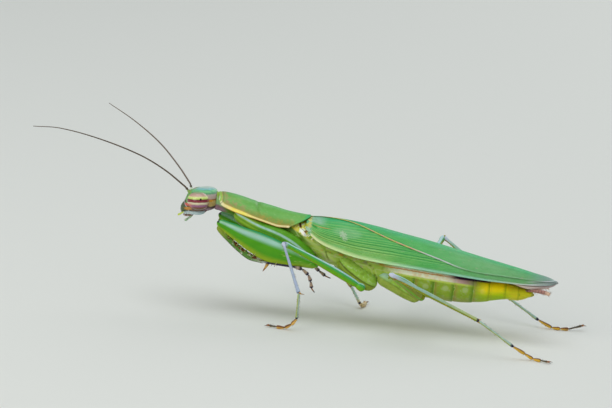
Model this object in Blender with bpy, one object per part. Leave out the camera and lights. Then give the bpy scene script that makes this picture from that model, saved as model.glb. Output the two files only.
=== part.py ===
"""A praying mantis at life size: a small green flower mantis standing on its four walking legs.

The body is 25 mm long from mouth to wing tip. It is built in body millimetres: x runs from the head
(negative) to the wing tips (positive) and is 0 beside the middle of the body, y is 0 on the body's
plane of symmetry with the mantis's left side negative, and z is 0 on the floor. ORIGIN then moves
everything so that the model's own origin lies on the floor under the middle of the whole figure.
"""
import math

import bmesh
import bpy
from mathutils import Matrix, Vector

MM = 0.001
ORIGIN = Vector((-5.004, 1.465, 0.0))  # the model's origin, in body millimetres
CLEARANCE = 0.03  # left between neighbouring solids
WELD = 1e-7  # metres: only points in the same place are merged

SHELL = 0.5  # thickness of a wing's shell
FINE_RADIUS = 0.25  # feelers, shins and feet, which are thinner still on a live mantis
ROUND_SIDES = 16  # points round the trunk's cross-sections
LIMB_SIDES = 10  # points round a forelimb's cross-sections
BAR_STEPS, PLUMP_STEPS = 2, 3  # how finely a thin bar and a plump one are rounded
END_REACH, END_TAPER = 0.5, 0.6  # a bar's end: how far it runs on and what is left of its radius

# Trunk pieces: rows of x, half width, top, waist (the widest level) and bottom, head end first.
RINGS = {"head": 11, "pronotum": 12, "prosternum": 8, "thorax": 9, "abdomen": 12}
HEAD = (
    (-13.62, 0.28, 6.50, 6.30, 6.12),
    (-13.45, 0.56, 6.86, 6.45, 6.04),
    (-13.15, 0.92, 7.38, 6.88, 6.02),
    (-12.75, 1.24, 7.70, 7.08, 6.08),
    (-12.25, 1.38, 7.86, 7.12, 6.20),
    (-11.75, 1.20, 7.88, 7.10, 6.36),
    (-11.38, 0.68, 7.74, 7.08, 6.58),
)
PRONOTUM = (
    (-11.28, 0.78, 7.58, 7.36, 7.20),
    (-11.00, 0.98, 7.67, 7.02, 6.82),
    (-10.30, 1.10, 7.61, 6.75, 6.52),
    (-9.50, 1.20, 7.43, 6.56, 6.33),
    (-8.80, 1.22, 7.28, 6.41, 6.18),
    (-7.80, 1.16, 7.10, 6.20, 5.98),
    (-6.60, 1.12, 6.87, 6.03, 5.83),
    (-5.15, 1.02, 6.72, 6.02, 5.88),
)
PRONOTUM_REAR_LEAN = 1.90  # how far the top of the rear edge overhangs its lower corners
PRONOTUM_LEAN_START = -9.0
PROSTERNUM = (
    (-11.10, 0.45, 7.05, 6.80, 6.50),
    (-10.00, 0.52, 6.95, 6.50, 6.12),
    (-8.50, 0.52, 6.65, 6.15, 5.78),
    (-7.20, 0.54, 6.35, 5.80, 5.40),
    (-6.54, 0.56, 6.20, 5.65, 5.15),
)
THORAX = (
    (-6.50, 0.80, 6.50, 5.65, 5.00),
    (-5.80, 0.95, 6.50, 5.35, 4.60),
    (-4.60, 1.08, 6.30, 4.85, 4.00),
    (-3.20, 1.20, 6.10, 4.30, 3.60),
    (-1.60, 1.32, 5.95, 4.00, 3.25),
    (0.00, 1.40, 5.75, 3.70, 2.80),
    (1.00, 1.38, 5.55, 3.50, 2.50),
)
ABDOMEN = (
    (1.04, 1.36, 5.50, 3.50, 2.46),
    (1.80, 1.48, 5.35, 3.40, 2.26),
    (3.20, 1.54, 5.00, 3.30, 2.16),
    (4.80, 1.48, 4.60, 3.20, 2.08),
    (6.40, 1.28, 4.15, 3.12, 2.25),
    (7.90, 1.00, 3.80, 3.10, 2.60),
    (8.90, 0.76, 3.55, 3.08, 2.62),
    (9.60, 0.46, 3.42, 3.16, 2.92),
    (9.78, 0.28, 3.36, 3.20, 3.06),
)

# The folded forewings: rows of x, half width, ridge height and hem height.
WING_ROOF = (
    (-5.40, 1.10, 6.67, 5.92),
    (-4.40, 1.45, 6.74, 5.27),
    (-3.00, 1.70, 6.72, 4.85),
    (-1.60, 1.84, 6.59, 4.59),
    (0.70, 1.90, 6.22, 4.41),
    (2.40, 1.88, 5.94, 4.30),
    (4.50, 1.72, 5.53, 4.14),
    (6.40, 1.48, 5.15, 3.98),
    (8.80, 1.00, 4.70, 3.86),
    (9.80, 0.76, 4.49, 3.84),
    (10.70, 0.50, 4.31, 3.88),
    (11.32, 0.16, 4.10, 3.98),
)
WING_POWER = 1.8  # below 2 the roof is a little tent-like
WING_CORE = 0.07  # near the tip, where the shells are thicker than the space under them
WING_RINGS = 15
UPPER_WING_COLUMNS, LOWER_WING_COLUMNS = 11, 5
HINDWING_RINGS = 7
# The right forewing lies over the left one. Its edge starts on the ridge at the wing base and runs
# down the left side: rows of x and the edge's angle, 0 at the ridge and 90 at the hem.
WING_OVERLAP = ((-5.40, 0.0), (-3.90, 0.0), (-0.25, 34.0), (3.45, 56.0), (5.20, 67.0),
                (7.45, 65.0), (9.45, 61.0), (11.32, 60.0))
# The folded hind wings show as a tongue under the forewing tips: rows of x, half width and height,
# and the outline of one wing's cross-section in shares of the half width and of SHELL.
HINDWING = (
    (7.20, 0.62, 3.96),
    (8.20, 0.80, 3.76),
    (9.20, 0.84, 3.66),
    (10.20, 0.62, 3.67),
    (11.10, 0.14, 3.84),
)
HINDWING_SECTION = ((0.7, -0.5), (1.0, -0.15), (1.0, 0.15), (0.7, 0.5))

EYE_CENTRE = (-12.50, 1.18, 7.07)  # right eye
EYE_RADII = (0.68, 0.62, 0.56)
EYE_SEGMENTS, EYE_RINGS = 16, 9
HEAD_ROLL = math.radians(4.0)  # the head is cocked, its right side lower
HEAD_AXIS_HEIGHT = 7.20
NECK = ((-11.75, 0.0, 7.08), (-11.30, 0.0, 7.02), (-10.75, 0.0, 6.85))
NECK_RADIUS, NECK_STEPS = 0.50, 4
PALP = ((-12.75, 0.42, 6.25), (-13.15, 0.50, 6.00), (-13.50, 0.42, 5.93), (-13.80, 0.32, 5.82))
PALP_RADIUS = 0.17
CERCUS = ((9.25, 0.38, 3.24), (9.70, 0.56, 3.32), (10.30, 0.82, 3.40), (10.85, 1.00, 3.42))
CERCUS_RADIUS = 0.25

FEELERS = {
    "left": ((-13.08, -0.42, 7.42), (-13.47, -0.55, 7.84), (-14.88, -1.00, 8.89), (-16.56, -1.60, 9.82),
             (-19.19, -2.60, 10.79), (-21.76, -3.60, 11.42), (-23.46, -4.20, 11.48)),
    "right": ((-12.90, 0.42, 7.50), (-13.22, 0.85, 7.84), (-14.17, 2.20, 8.65), (-15.55, 4.20, 9.58),
              (-17.45, 7.00, 10.31), (-19.39, 9.50, 10.84)),
}
FEELER_POINTS = 14

# Forelegs, right side: rows of position, half depth and half width along each segment.
FORE_COXA = (
    ((-10.10, 0.72, 6.52), 0.20, 0.20),
    (( -9.70, 0.82, 6.26), 0.40, 0.34),
    (( -8.60, 0.92, 5.80), 0.46, 0.36),
    (( -7.20, 0.96, 5.40), 0.52, 0.36),
    (( -6.40, 0.97, 5.08), 0.52, 0.35),
    (( -5.80, 0.98, 4.76), 0.48, 0.33),
    (( -4.90, 1.00, 4.20), 0.38, 0.30),
    (( -4.62, 1.02, 4.00), 0.18, 0.16),
)
FORE_FEMUR = (
    (( -4.42, 1.22, 3.72), 0.12, 0.12),
    (( -4.75, 1.24, 3.80), 0.34, 0.28),
    (( -5.70, 1.27, 4.05), 0.48, 0.36),
    (( -6.70, 1.28, 4.33), 0.60, 0.40),
    (( -7.60, 1.28, 4.55), 0.70, 0.42),
    (( -8.60, 1.27, 4.88), 0.66, 0.40),
    (( -9.60, 1.26, 5.28), 0.50, 0.36),
    ((-10.50, 1.25, 5.64), 0.34, 0.30),
    ((-11.00, 1.25, 5.84), 0.25, 0.25),
    ((-11.18, 1.25, 5.90), 0.12, 0.12),
)
FORE_TIBIA = (
    ((-11.12, 1.22, 5.60), 0.12, 0.12),
    ((-10.90, 1.22, 5.46), 0.25, 0.25),
    ((-10.28, 1.21, 4.91), 0.27, 0.25),
    (( -9.38, 1.20, 4.27), 0.31, 0.25),
    (( -8.55, 1.19, 3.86), 0.31, 0.25),
    (( -8.05, 1.17, 3.66), 0.20, 0.20),
    (( -7.30, 1.12, 3.56), 0.10, 0.10),
    (( -6.75, 1.08, 3.62), 0.05, 0.05),
)
FORE_TARSUS = {
    "left": ((-8.05, -1.50, 3.66), (-6.90, -1.55, 3.60), (-5.90, -1.55, 3.56), (-5.25, -1.56, 3.42),
             (-4.82, -1.58, 3.05), (-4.68, -1.60, 2.60), (-4.62, -1.62, 2.25)),
    "right": ((-8.05, 1.50, 3.66), (-6.90, 1.55, 3.60), (-5.90, 1.55, 3.56), (-5.20, 1.56, 3.42),
              (-4.68, 1.58, 3.08), (-4.20, 1.60, 2.72), (-3.80, 1.62, 2.44)),
}

# Walking legs: the joints from the body to the claws, in the pose in which the mantis stands.
WALKING_LEGS = {
    "mid_leg_left": {
        "coxa": ((-3.00, -0.88, 4.33), (-2.20, -1.10, 3.76), (-1.50, -1.12, 3.34), (-0.80, -1.08, 2.98)),
        "hip": (-1.06, -1.05, 2.73), "knee": (-6.74, -2.45, 5.22), "ankle": (-5.40, -5.05, 2.62),
        "foot": ((-5.37, -4.66, 0.85), (-5.66, -4.42, 0.40), (-6.08, -4.35, 0.20),
                 (-6.64, -4.30, 0.19), (-7.06, -4.16, 0.20)),
    },
    "mid_leg_right": {
        "coxa": ((-3.00, 0.88, 4.33), (-2.30, 1.10, 3.74), (-1.75, 1.12, 3.30), (-1.25, 1.08, 2.92)),
        "hip": (-1.50, 1.08, 2.66), "knee": (-4.80, 6.20, 4.00), "ankle": (-1.98, 4.40, 1.28),
        "foot": ((-1.30, 3.72, 0.34), (-1.10, 4.15, 0.20), (-0.98, 4.65, 0.19),
                 (-0.92, 5.20, 0.20)),
    },
    "hind_leg_left": {
        "coxa": ((0.00, -0.98, 3.36), (0.71, -1.10, 3.04), (1.43, -1.12, 2.68), (2.05, -1.10, 2.43)),
        "hip": (2.25, -1.25, 2.35), "knee": (-0.02, -6.50, 4.80), "ankle": (6.24, -6.05, 2.34),
        "foot": ((8.64, -5.84, 0.85), (9.44, -5.55, 0.40), (9.98, -5.52, 0.20),
                 (10.50, -5.72, 0.19), (10.90, -5.85, 0.20)),
    },
    "hind_leg_right": {
        "coxa": ((0.00, 0.98, 3.36), (0.68, 1.10, 3.02), (1.34, 1.12, 2.66), (1.90, 1.10, 2.40)),
        "hip": (2.06, 1.28, 2.30), "knee": (3.77, 7.00, 4.74), "ankle": (8.50, 4.50, 1.62),
        "foot": ((10.56, 3.92, 0.50), (11.48, 3.80, 0.22), (12.05, 3.76, 0.19),
                 (12.60, 3.95, 0.20), (13.05, 4.10, 0.30), (13.45, 4.25, 0.36)),
    },
}
COXA_RADII = {  # evenly spaced along the hip piece
    "mid": (0.42, 0.56, 0.60, 0.56, 0.46),
    "hind": (0.46, 0.52, 0.52, 0.48, 0.42),
}
FEMUR_SHARES = (0.0, 0.12, 0.4, 0.75, 1.0)  # places along the thigh from hip to knee
FEMUR_RADII = (0.30, 0.38, 0.33, 0.27, 0.27)
TIBIA_SHARES = (0.0, 0.5, 1.0)
TIBIA_RADII = (0.26, 0.25, 0.25)

COLOURS = {  # base colour, roughness
    "green_skin": ((0.16, 0.42, 0.06), 0.45),
    "green_shell": ((0.17, 0.48, 0.08), 0.40),
    "wing": ((0.08, 0.45, 0.11), 0.42),
    "hindwing": ((0.50, 0.36, 0.42), 0.45),
    "eye": ((0.40, 0.16, 0.16), 0.15),
    "feeler": ((0.05, 0.04, 0.03), 0.50),
    "limb": ((0.22, 0.48, 0.12), 0.42),
    "shin": ((0.40, 0.44, 0.52), 0.42),
    "foot": ((0.52, 0.30, 0.08), 0.45),
    "abdomen": ((0.38, 0.45, 0.10), 0.50),
    "cercus": ((0.36, 0.17, 0.14), 0.55),
}


def mm(point):
    return Vector(point) * MM


def between(stations, key):
    """The row of numbers at key, on a smooth curve through stations (rows that begin with keys)."""
    keys = [station[0] for station in stations]
    key = min(max(key, keys[0]), keys[-1])
    last = len(keys) - 2
    index = max(0, min(last, sum(1 for k in keys if k <= key) - 1))
    step = keys[index + 1] - keys[index]
    t = (key - keys[index]) / step

    def slope(row, column):
        before, after = stations[max(row - 1, 0)], stations[min(row + 1, len(keys) - 1)]
        return (after[column] - before[column]) / (after[0] - before[0]) * step

    return [
        (1 + 2 * t) * (1 - t) ** 2 * stations[index][c]
        + t * (1 - t) ** 2 * slope(index, c)
        + t * t * (3 - 2 * t) * stations[index + 1][c]
        + t * t * (t - 1) * slope(index + 1, c)
        for c in range(1, len(stations[0]))
    ]


def smooth_path(points, count):
    """count points along a smooth curve through the given points."""
    total = [0.0]
    for a, b in zip(points, points[1:]):
        total.append(total[-1] + (Vector(b) - Vector(a)).length)
    stations = [(t, *point) for t, point in zip(total, points)]
    return [between(stations, total[-1] * i / (count - 1)) for i in range(count)]


def mirrored(points):
    """The same points on the other side of the body."""
    return [(x, -y, z) for x, y, z in points]


def material(name):
    found = bpy.data.materials.get(name)
    if found:
        return found
    colour, roughness = COLOURS[name]
    made = bpy.data.materials.new(name)
    made.use_nodes = True
    principled = made.node_tree.nodes["Principled BSDF"]
    principled.inputs["Base Color"].default_value = (*colour, 1.0)
    principled.inputs["Roughness"].default_value = roughness
    made.diffuse_color = (*colour, 1.0)
    return made


def place(name, mesh, finish):
    """Puts a mesh in the scene as the named piece."""
    mesh.materials.clear()
    mesh.materials.append(material(finish))
    mesh.shade_smooth()
    piece = bpy.data.objects.new(name, mesh)
    bpy.data.collections["praying_mantis"].objects.link(piece)
    return piece


def loft(name, rings, finish):
    """A closed body through rings of equal point counts, closed by a face at each end."""
    mesh = bpy.data.meshes.new(name)
    build = bmesh.new()
    rows = [[build.verts.new(point) for point in ring] for ring in rings]
    sides = len(rows[0])
    for row, following in zip(rows, rows[1:]):
        for i in range(sides):
            j = (i + 1) % sides
            build.faces.new((row[i], row[j], following[j], following[i]))
    build.faces.new(rows[0])
    build.faces.new(rows[-1])
    bmesh.ops.recalc_face_normals(build, faces=build.faces)
    build.to_mesh(mesh)
    build.free()
    return place(name, mesh, finish)


def oval(half_width, top, waist, bottom, sides):
    """(y, z) points of a cross-section that is widest at its waist."""
    points = []
    for i in range(sides):
        angle = math.tau * i / sides
        up = math.sin(angle)
        height = top - waist if up > 0 else waist - bottom
        points.append((half_width * math.cos(angle), waist + height * up))
    return points


def upright(x, depth):
    """Cross-sections that stand square to the body."""
    return 0.0


def trunk_piece(name, stations, finish, lean=upright):
    """A lofted piece of the trunk; lean(x, depth below the top) shifts points along x."""
    first, last = stations[0][0], stations[-1][0]
    rings = RINGS[name]
    sections = []
    for i in range(rings):
        x = first + (last - first) * i / (rings - 1)
        half_width, top, waist, bottom = between(stations, x)
        section = oval(half_width, top, waist, bottom, ROUND_SIDES)
        sections.append([mm((x + lean(x, top - z), y, z)) for y, z in section])
    return loft(name, sections, finish)


def limb(name, stations, finish):
    """A flattened limb segment, lofted along its own curved axis."""
    sections = []
    for i, (centre, half_depth, half_width) in enumerate(stations):
        before = Vector(stations[max(i - 1, 0)][0])
        after = Vector(stations[min(i + 1, len(stations) - 1)][0])
        along = (after - before).normalized()
        across = Vector((0.0, 1.0, 0.0))
        up = along.cross(across).normalized()
        across = up.cross(along).normalized()
        ring = []
        for side in range(LIMB_SIDES):
            angle = math.tau * side / LIMB_SIDES
            offset = across * half_width * math.cos(angle) + up * half_depth * math.sin(angle)
            ring.append((Vector(centre) + offset) * MM)
        sections.append(ring)
    return loft(name, sections, finish)


def tube(name, points, radii, finish, steps=BAR_STEPS):
    """A round bar along points, made as a bevelled curve and turned into a mesh."""
    curve = bpy.data.curves.new(name, "CURVE")
    curve.dimensions = "3D"
    curve.bevel_depth = MM
    curve.bevel_resolution = steps
    curve.use_fill_caps = True
    spline = curve.splines.new("POLY")
    spline.points.add(len(points) - 1)
    for knot, point, radius in zip(spline.points, points, radii):
        knot.co = (*mm(point), 1.0)
        knot.radius = radius
    bar = bpy.data.objects.new(name + "_curve", curve)
    bpy.context.scene.collection.objects.link(bar)
    mesh = bpy.data.meshes.new_from_object(bar.evaluated_get(bpy.context.evaluated_depsgraph_get()))
    bpy.data.objects.remove(bar)
    mesh.name = name
    build = bmesh.new()
    build.from_mesh(mesh)
    bmesh.ops.remove_doubles(build, verts=build.verts, dist=WELD)
    bmesh.ops.recalc_face_normals(build, faces=build.faces)
    build.to_mesh(mesh)
    build.free()
    return place(name, mesh, finish)


def round_ended(points, radii):
    """The path and radii of a bar whose two ends are drawn in to a rounded point."""
    start, end = Vector(points[0]), Vector(points[-1])
    into = (Vector(points[1]) - start).normalized() * radii[0] * END_REACH
    out = (end - Vector(points[-2])).normalized() * radii[-1] * END_REACH
    path = [start - into, *points, end + out]
    return path, [radii[0] * END_TAPER, *radii, radii[-1] * END_TAPER]


def largest_body(build):
    """Leaves only the largest connected body of a mesh."""
    unseen = set(build.verts)
    bodies = []
    while unseen:
        body, edge = set(), [unseen.pop()]
        while edge:
            vertex = edge.pop()
            body.add(vertex)
            for link in vertex.link_edges:
                other = link.other_vert(vertex)
                if other in unseen:
                    unseen.remove(other)
                    edge.append(other)
        bodies.append(body)
    bodies.sort(key=len)
    for body in bodies[:-1]:
        bmesh.ops.delete(build, geom=list(body), context="VERTS")


def cut(piece, cutter):
    """Cuts the piece with the cutter for good, and removes the cutter."""
    cutter.hide_render = True
    cutter.display_type = "WIRE"
    modifier = piece.modifiers.new("cut", "BOOLEAN")
    modifier.operation = "DIFFERENCE"
    modifier.solver = "EXACT"
    modifier.object = cutter
    mesh = bpy.data.meshes.new_from_object(
        piece.evaluated_get(bpy.context.evaluated_depsgraph_get()))
    piece.modifiers.clear()
    piece.data = mesh
    bpy.data.objects.remove(cutter)


def swollen(piece):
    """A cutter: a copy of the piece, larger by the clearance on every side."""
    cutter = bpy.data.objects.new(piece.name + "_cutter", piece.data.copy())
    bpy.data.collections["cutters"].objects.link(cutter)
    normals = [vertex.normal.copy() for vertex in cutter.data.vertices]
    for vertex, normal in zip(cutter.data.vertices, normals):
        vertex.co += normal * CLEARANCE * MM
    return cutter


def meet(piece, *neighbours):
    """Cuts the piece back so that it meets its neighbours face to face."""
    for neighbour in neighbours:
        cut(piece, swollen(neighbour))
    build = bmesh.new()
    build.from_mesh(piece.data)
    bmesh.ops.remove_doubles(build, verts=build.verts, dist=WELD)
    largest_body(build)
    build.to_mesh(piece.data)
    build.free()


def stand_flat(piece):
    """Cuts a foot level with the floor, which gives it its small flat sole."""
    build = bmesh.new()
    build.from_mesh(piece.data)
    geometry = [*build.verts, *build.edges, *build.faces]
    bmesh.ops.bisect_plane(build, geom=geometry, dist=WELD, plane_co=(0, 0, 0),
                           plane_no=(0, 0, -1), clear_outer=True)
    rim = [edge for edge in build.edges if edge.is_boundary]
    bmesh.ops.holes_fill(build, edges=rim)
    bmesh.ops.recalc_face_normals(build, faces=build.faces)
    build.to_mesh(piece.data)
    build.free()


def cock_head(piece):
    """Rolls a piece of the head about the head's own fore-and-aft axis."""
    axis = mm((0.0, 0.0, HEAD_AXIS_HEIGHT))
    turn = (Matrix.Translation(axis) @ Matrix.Rotation(-HEAD_ROLL, 4, "X")
            @ Matrix.Translation(-axis))
    piece.data.transform(turn)


def make_head(parts):
    parts["head"] = trunk_piece("head", HEAD, "green_skin")
    x, y, z = EYE_CENTRE
    for side, sign in (("left", -1), ("right", 1)):
        bpy.ops.mesh.primitive_uv_sphere_add(segments=EYE_SEGMENTS, ring_count=EYE_RINGS, radius=1.0)
        ball = bpy.context.object
        for vertex in ball.data.vertices:
            vertex.co = Vector([c * r for c, r in zip(vertex.co, EYE_RADII)]) * MM
            vertex.co += mm((x, sign * y, z))
        mesh = ball.data
        bpy.data.objects.remove(ball)
        parts["eye_" + side] = place("eye_" + side, mesh, "eye")
        meet(parts["head"], parts["eye_" + side])
    for name in ("head", "eye_left", "eye_right"):
        cock_head(parts[name])
    for side in ("left", "right"):
        route = smooth_path(FEELERS[side], FEELER_POINTS)
        path, radii = round_ended(route, [FINE_RADIUS] * len(route))
        feeler = tube("feeler_" + side, path, radii, "feeler")
        parts["feeler_" + side] = feeler
        meet(feeler, parts["head"], parts["eye_" + side])
        palp_path = PALP if side == "right" else mirrored(PALP)
        path, radii = round_ended(palp_path, [PALP_RADIUS] * len(PALP))
        parts["palp_" + side] = tube("palp_" + side, path, radii, "foot")
        meet(parts["palp_" + side], parts["head"])


def rear_lean(x, depth):
    """The rear edge of the pronotum is cut obliquely, its top reaching furthest back."""
    share = max(0.0, (x - PRONOTUM_LEAN_START) / (PRONOTUM[-1][0] - PRONOTUM_LEAN_START))
    return -PRONOTUM_REAR_LEAN * share * share * depth


def make_trunk(parts):
    parts["pronotum"] = trunk_piece("pronotum", PRONOTUM, "green_shell", lean=rear_lean)
    parts["neck"] = tube("neck", NECK, [NECK_RADIUS] * len(NECK), "green_skin", NECK_STEPS)
    meet(parts["neck"], parts["head"], parts["pronotum"])
    parts["prosternum"] = trunk_piece("prosternum", PROSTERNUM, "green_skin")
    meet(parts["prosternum"], parts["pronotum"], parts["neck"])


def wing_point(x, angle, inset):
    """A point of the wing roof's outer face, or with an inset of its inner face.

    The angle runs from 0 on the ridge to 90 degrees at the right hem and -90 at the left one.
    """
    half_width, ridge, hem = between(WING_ROOF, x)
    power = 2 / WING_POWER
    across = math.copysign(abs(math.sin(angle)) ** power, angle)
    up = abs(math.cos(angle)) ** power
    half_width = max(half_width - inset, WING_CORE)
    height = max(ridge - hem - inset, WING_CORE)
    return mm((x, half_width * across, hem + height * up))


def forewing(name, hem_side, columns):
    """One forewing: a curved shell from the overlap edge to the hem on its own side."""
    first, last = WING_ROOF[0][0], WING_ROOF[-1][0]
    sections = []
    for i in range(WING_RINGS):
        x = first + (last - first) * i / (WING_RINGS - 1)
        half_width = between(WING_ROOF, x)[0]
        edge = -math.radians(between(WING_OVERLAP, x)[0]) + hem_side * CLEARANCE / half_width
        hem = hem_side * math.pi / 2
        angles = [edge + (hem - edge) * j / (columns - 1) for j in range(columns)]
        outside = [wing_point(x, angle, 0.0) for angle in angles]
        inside = [wing_point(x, angle, SHELL) for angle in reversed(angles)]
        sections.append(outside + inside)
    return loft(name, sections, "wing")


def hindwing(name, side):
    """One folded hind wing: half of the tongue under the forewing tips."""
    first, last = HINDWING[0][0], HINDWING[-1][0]
    sections = []
    for i in range(HINDWING_RINGS):
        x = first + (last - first) * i / (HINDWING_RINGS - 1)
        half_width, height = between(HINDWING, x)
        middle = CLEARANCE / 2 / half_width
        section = ((middle, -0.5), *HINDWING_SECTION, (middle, 0.5))
        sections.append([mm((x, side * half_width * out, height + SHELL * rise))
                         for out, rise in section])
    return loft(name, sections, "hindwing")


def make_wings(parts):
    parts["forewing_left"] = forewing("forewing_left", -1, LOWER_WING_COLUMNS)
    parts["forewing_right"] = forewing("forewing_right", 1, UPPER_WING_COLUMNS)
    wings = [parts["forewing_left"], parts["forewing_right"]]
    for wing in wings:
        meet(wing, parts["pronotum"])
    for side, sign in (("left", -1), ("right", 1)):
        parts["hindwing_" + side] = hindwing("hindwing_" + side, sign)
        meet(parts["hindwing_" + side], *wings)


def make_rear(parts):
    wings = [parts[kind + side] for kind in ("forewing_", "hindwing_") for side in ("left", "right")]
    parts["thorax"] = trunk_piece("thorax", THORAX, "green_skin")
    meet(parts["thorax"], parts["pronotum"], *wings)
    parts["abdomen"] = trunk_piece("abdomen", ABDOMEN, "abdomen")
    meet(parts["abdomen"], *wings)
    for side in ("left", "right"):
        points = CERCUS if side == "right" else mirrored(CERCUS)
        path, radii = round_ended(points, [CERCUS_RADIUS] * len(points))
        cercus = tube("cercus_" + side, path, radii, "cercus")
        parts["cercus_" + side] = cercus
        meet(cercus, parts["abdomen"], *wings)


def make_foreleg(parts, side):
    def on_side(stations):
        if side == "right":
            return stations
        return [((x, -y, z), depth, width) for (x, y, z), depth, width in stations]

    name = "foreleg_" + side + "_"
    coxa = limb(name + "coxa", on_side(FORE_COXA), "limb")
    meet(coxa, parts["pronotum"], parts["prosternum"], parts["thorax"])
    femur = limb(name + "femur", on_side(FORE_FEMUR), "limb")
    meet(femur, coxa, parts["prosternum"], parts["thorax"])
    tibia = limb(name + "tibia", on_side(FORE_TIBIA), "limb")
    meet(tibia, femur)
    path, radii = round_ended(FORE_TARSUS[side], [FINE_RADIUS] * len(FORE_TARSUS[side]))
    tarsus = tube(name + "tarsus", path, radii, "foot")
    meet(tarsus, tibia, femur)
    for piece in (coxa, femur, tibia, tarsus):
        parts[piece.name] = piece


def make_walking_leg(parts, leg, joints):
    trunk = [parts["thorax"], parts["abdomen"]]
    coxa_radii = COXA_RADII[leg.split("_")[0]]
    path, radii = round_ended(smooth_path(joints["coxa"], len(coxa_radii)), coxa_radii)
    coxa = tube(leg + "_coxa", path, radii, "limb", PLUMP_STEPS)
    meet(coxa, *trunk)
    hip, knee = Vector(joints["hip"]), Vector(joints["knee"])
    ankle = Vector(joints["ankle"])
    thigh = [hip.lerp(knee, share) for share in FEMUR_SHARES]
    path, radii = round_ended(thigh, FEMUR_RADII)
    femur = tube(leg + "_femur", path, radii, "limb")
    meet(femur, coxa, *trunk)
    shin = [knee.lerp(ankle, share) for share in TIBIA_SHARES]
    path, radii = round_ended(shin, TIBIA_RADII)
    tibia = tube(leg + "_tibia", path, radii, "shin")
    meet(tibia, femur)
    foot = [ankle, *joints["foot"]]
    path, radii = round_ended(foot, [FINE_RADIUS] * len(foot))
    tarsus = tube(leg + "_tarsus", path, radii, "foot")
    meet(tarsus, tibia)
    stand_flat(tarsus)
    for piece in (coxa, femur, tibia, tarsus):
        parts[piece.name] = piece


def main():
    for thing in list(bpy.data.objects):
        bpy.data.objects.remove(thing)
    for name in ("praying_mantis", "cutters"):
        bpy.context.scene.collection.children.link(bpy.data.collections.new(name))
    parts = {}
    make_head(parts)
    make_trunk(parts)
    make_wings(parts)
    make_rear(parts)
    for side in ("left", "right"):
        make_foreleg(parts, side)
    for leg, joints in WALKING_LEGS.items():
        make_walking_leg(parts, leg, joints)
    for piece in parts.values():
        for vertex in piece.data.vertices:
            vertex.co -= mm(ORIGIN)


main()
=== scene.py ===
# %% [markdown]
# # A praying mantis at life size
# This lesson dresses the solids of a small green flower mantis, 25 mm from mouth to wing tip, so that it
# looks alive. The solids are the fixed frame. Each step below makes one piece of the animal around them,
# says which solids it stands for, and gives it a finish made of shader nodes alone.

# %% Load the frame
import math

import bpy
import numpy as np
from mathutils import Matrix, Quaternion, Vector


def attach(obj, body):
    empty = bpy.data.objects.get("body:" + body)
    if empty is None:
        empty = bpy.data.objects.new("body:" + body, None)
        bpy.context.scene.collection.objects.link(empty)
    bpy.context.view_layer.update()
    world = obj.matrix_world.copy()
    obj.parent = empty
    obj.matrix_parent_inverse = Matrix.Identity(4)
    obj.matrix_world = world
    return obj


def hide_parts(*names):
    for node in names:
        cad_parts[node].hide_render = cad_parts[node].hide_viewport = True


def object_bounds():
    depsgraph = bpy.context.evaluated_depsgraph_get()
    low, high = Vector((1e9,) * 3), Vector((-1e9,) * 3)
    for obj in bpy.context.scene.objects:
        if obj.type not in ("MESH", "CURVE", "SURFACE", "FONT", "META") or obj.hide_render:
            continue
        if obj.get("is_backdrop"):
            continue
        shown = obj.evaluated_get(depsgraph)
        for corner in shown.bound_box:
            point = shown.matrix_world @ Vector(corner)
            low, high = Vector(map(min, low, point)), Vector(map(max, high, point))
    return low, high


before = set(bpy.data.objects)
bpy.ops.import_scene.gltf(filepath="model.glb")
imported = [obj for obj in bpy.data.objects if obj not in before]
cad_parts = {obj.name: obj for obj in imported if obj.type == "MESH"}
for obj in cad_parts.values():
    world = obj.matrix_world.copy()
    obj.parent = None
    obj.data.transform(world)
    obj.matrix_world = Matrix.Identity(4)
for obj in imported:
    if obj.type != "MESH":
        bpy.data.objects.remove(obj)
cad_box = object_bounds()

print("frame:", len(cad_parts), "nodes,", [round(1000 * c, 1) for c in cad_box[1] - cad_box[0]], "mm")

# %% [markdown]
# ## Measures
# An insect this small is easiest to think of in millimetres on its own body: x runs from the head to the
# wing tips and is 0 beside the middle of the body, the left side has y below 0, and z is the height above
# the floor. The solids were built the same way, so every place below is a body millimetre, and one
# function turns it into the frame's metres.

# %% Body millimetres
MM = 0.001
ORIGIN = Vector((-5.004, 1.465, 0.0))  # the frame's origin, in body millimetres
WELD = 1e-7  # metres: only points in the same place are merged
SIDES = (("left", -1), ("right", 1))  # each side of the body and the sign of its y
rng = np.random.default_rng(7)


def mm(point):
    """The place in the frame, in metres, of a point in body millimetres."""
    return (Vector(point) - ORIGIN) * MM


def metres(points):
    """The same for an array of points."""
    return (points - np.array(ORIGIN)) * MM


def smooth_rows(rows, keys):
    """Columns of numbers at each key, on a smooth curve through rows that begin with a key."""
    table = np.array(rows, float)
    known, columns = table[:, 0], table[:, 1:]
    keys = np.clip(np.asarray(keys, float), known[0], known[-1])
    low = np.clip(np.searchsorted(known, keys, side="right") - 1, 0, len(known) - 2)
    index = np.arange(len(known))
    before, after = np.maximum(index - 1, 0), np.minimum(index + 1, len(known) - 1)
    slope = (columns[after] - columns[before]) / (known[after] - known[before])[:, None]
    step = (known[low + 1] - known[low])[:, None]
    t = (keys - known[low])[:, None] / step
    value = ((1 + 2 * t) * (1 - t) ** 2 * columns[low] + t * (1 - t) ** 2 * slope[low] * step
             + t * t * (3 - 2 * t) * columns[low + 1] + t * t * (t - 1) * slope[low + 1] * step)
    return value.T


# %% [markdown]
# ## Camera, floor and light
# The animal is seen from its left, from a little above, through a long lens that hardly narrows with
# distance. The camera leans a few degrees, so that the mantis seems to walk slightly uphill. A long lens is
# a camera far away with a narrow view, so the view follows from three facts: the point that it looks at,
# how wide a stretch of the body it takes in, and the distance.

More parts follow.
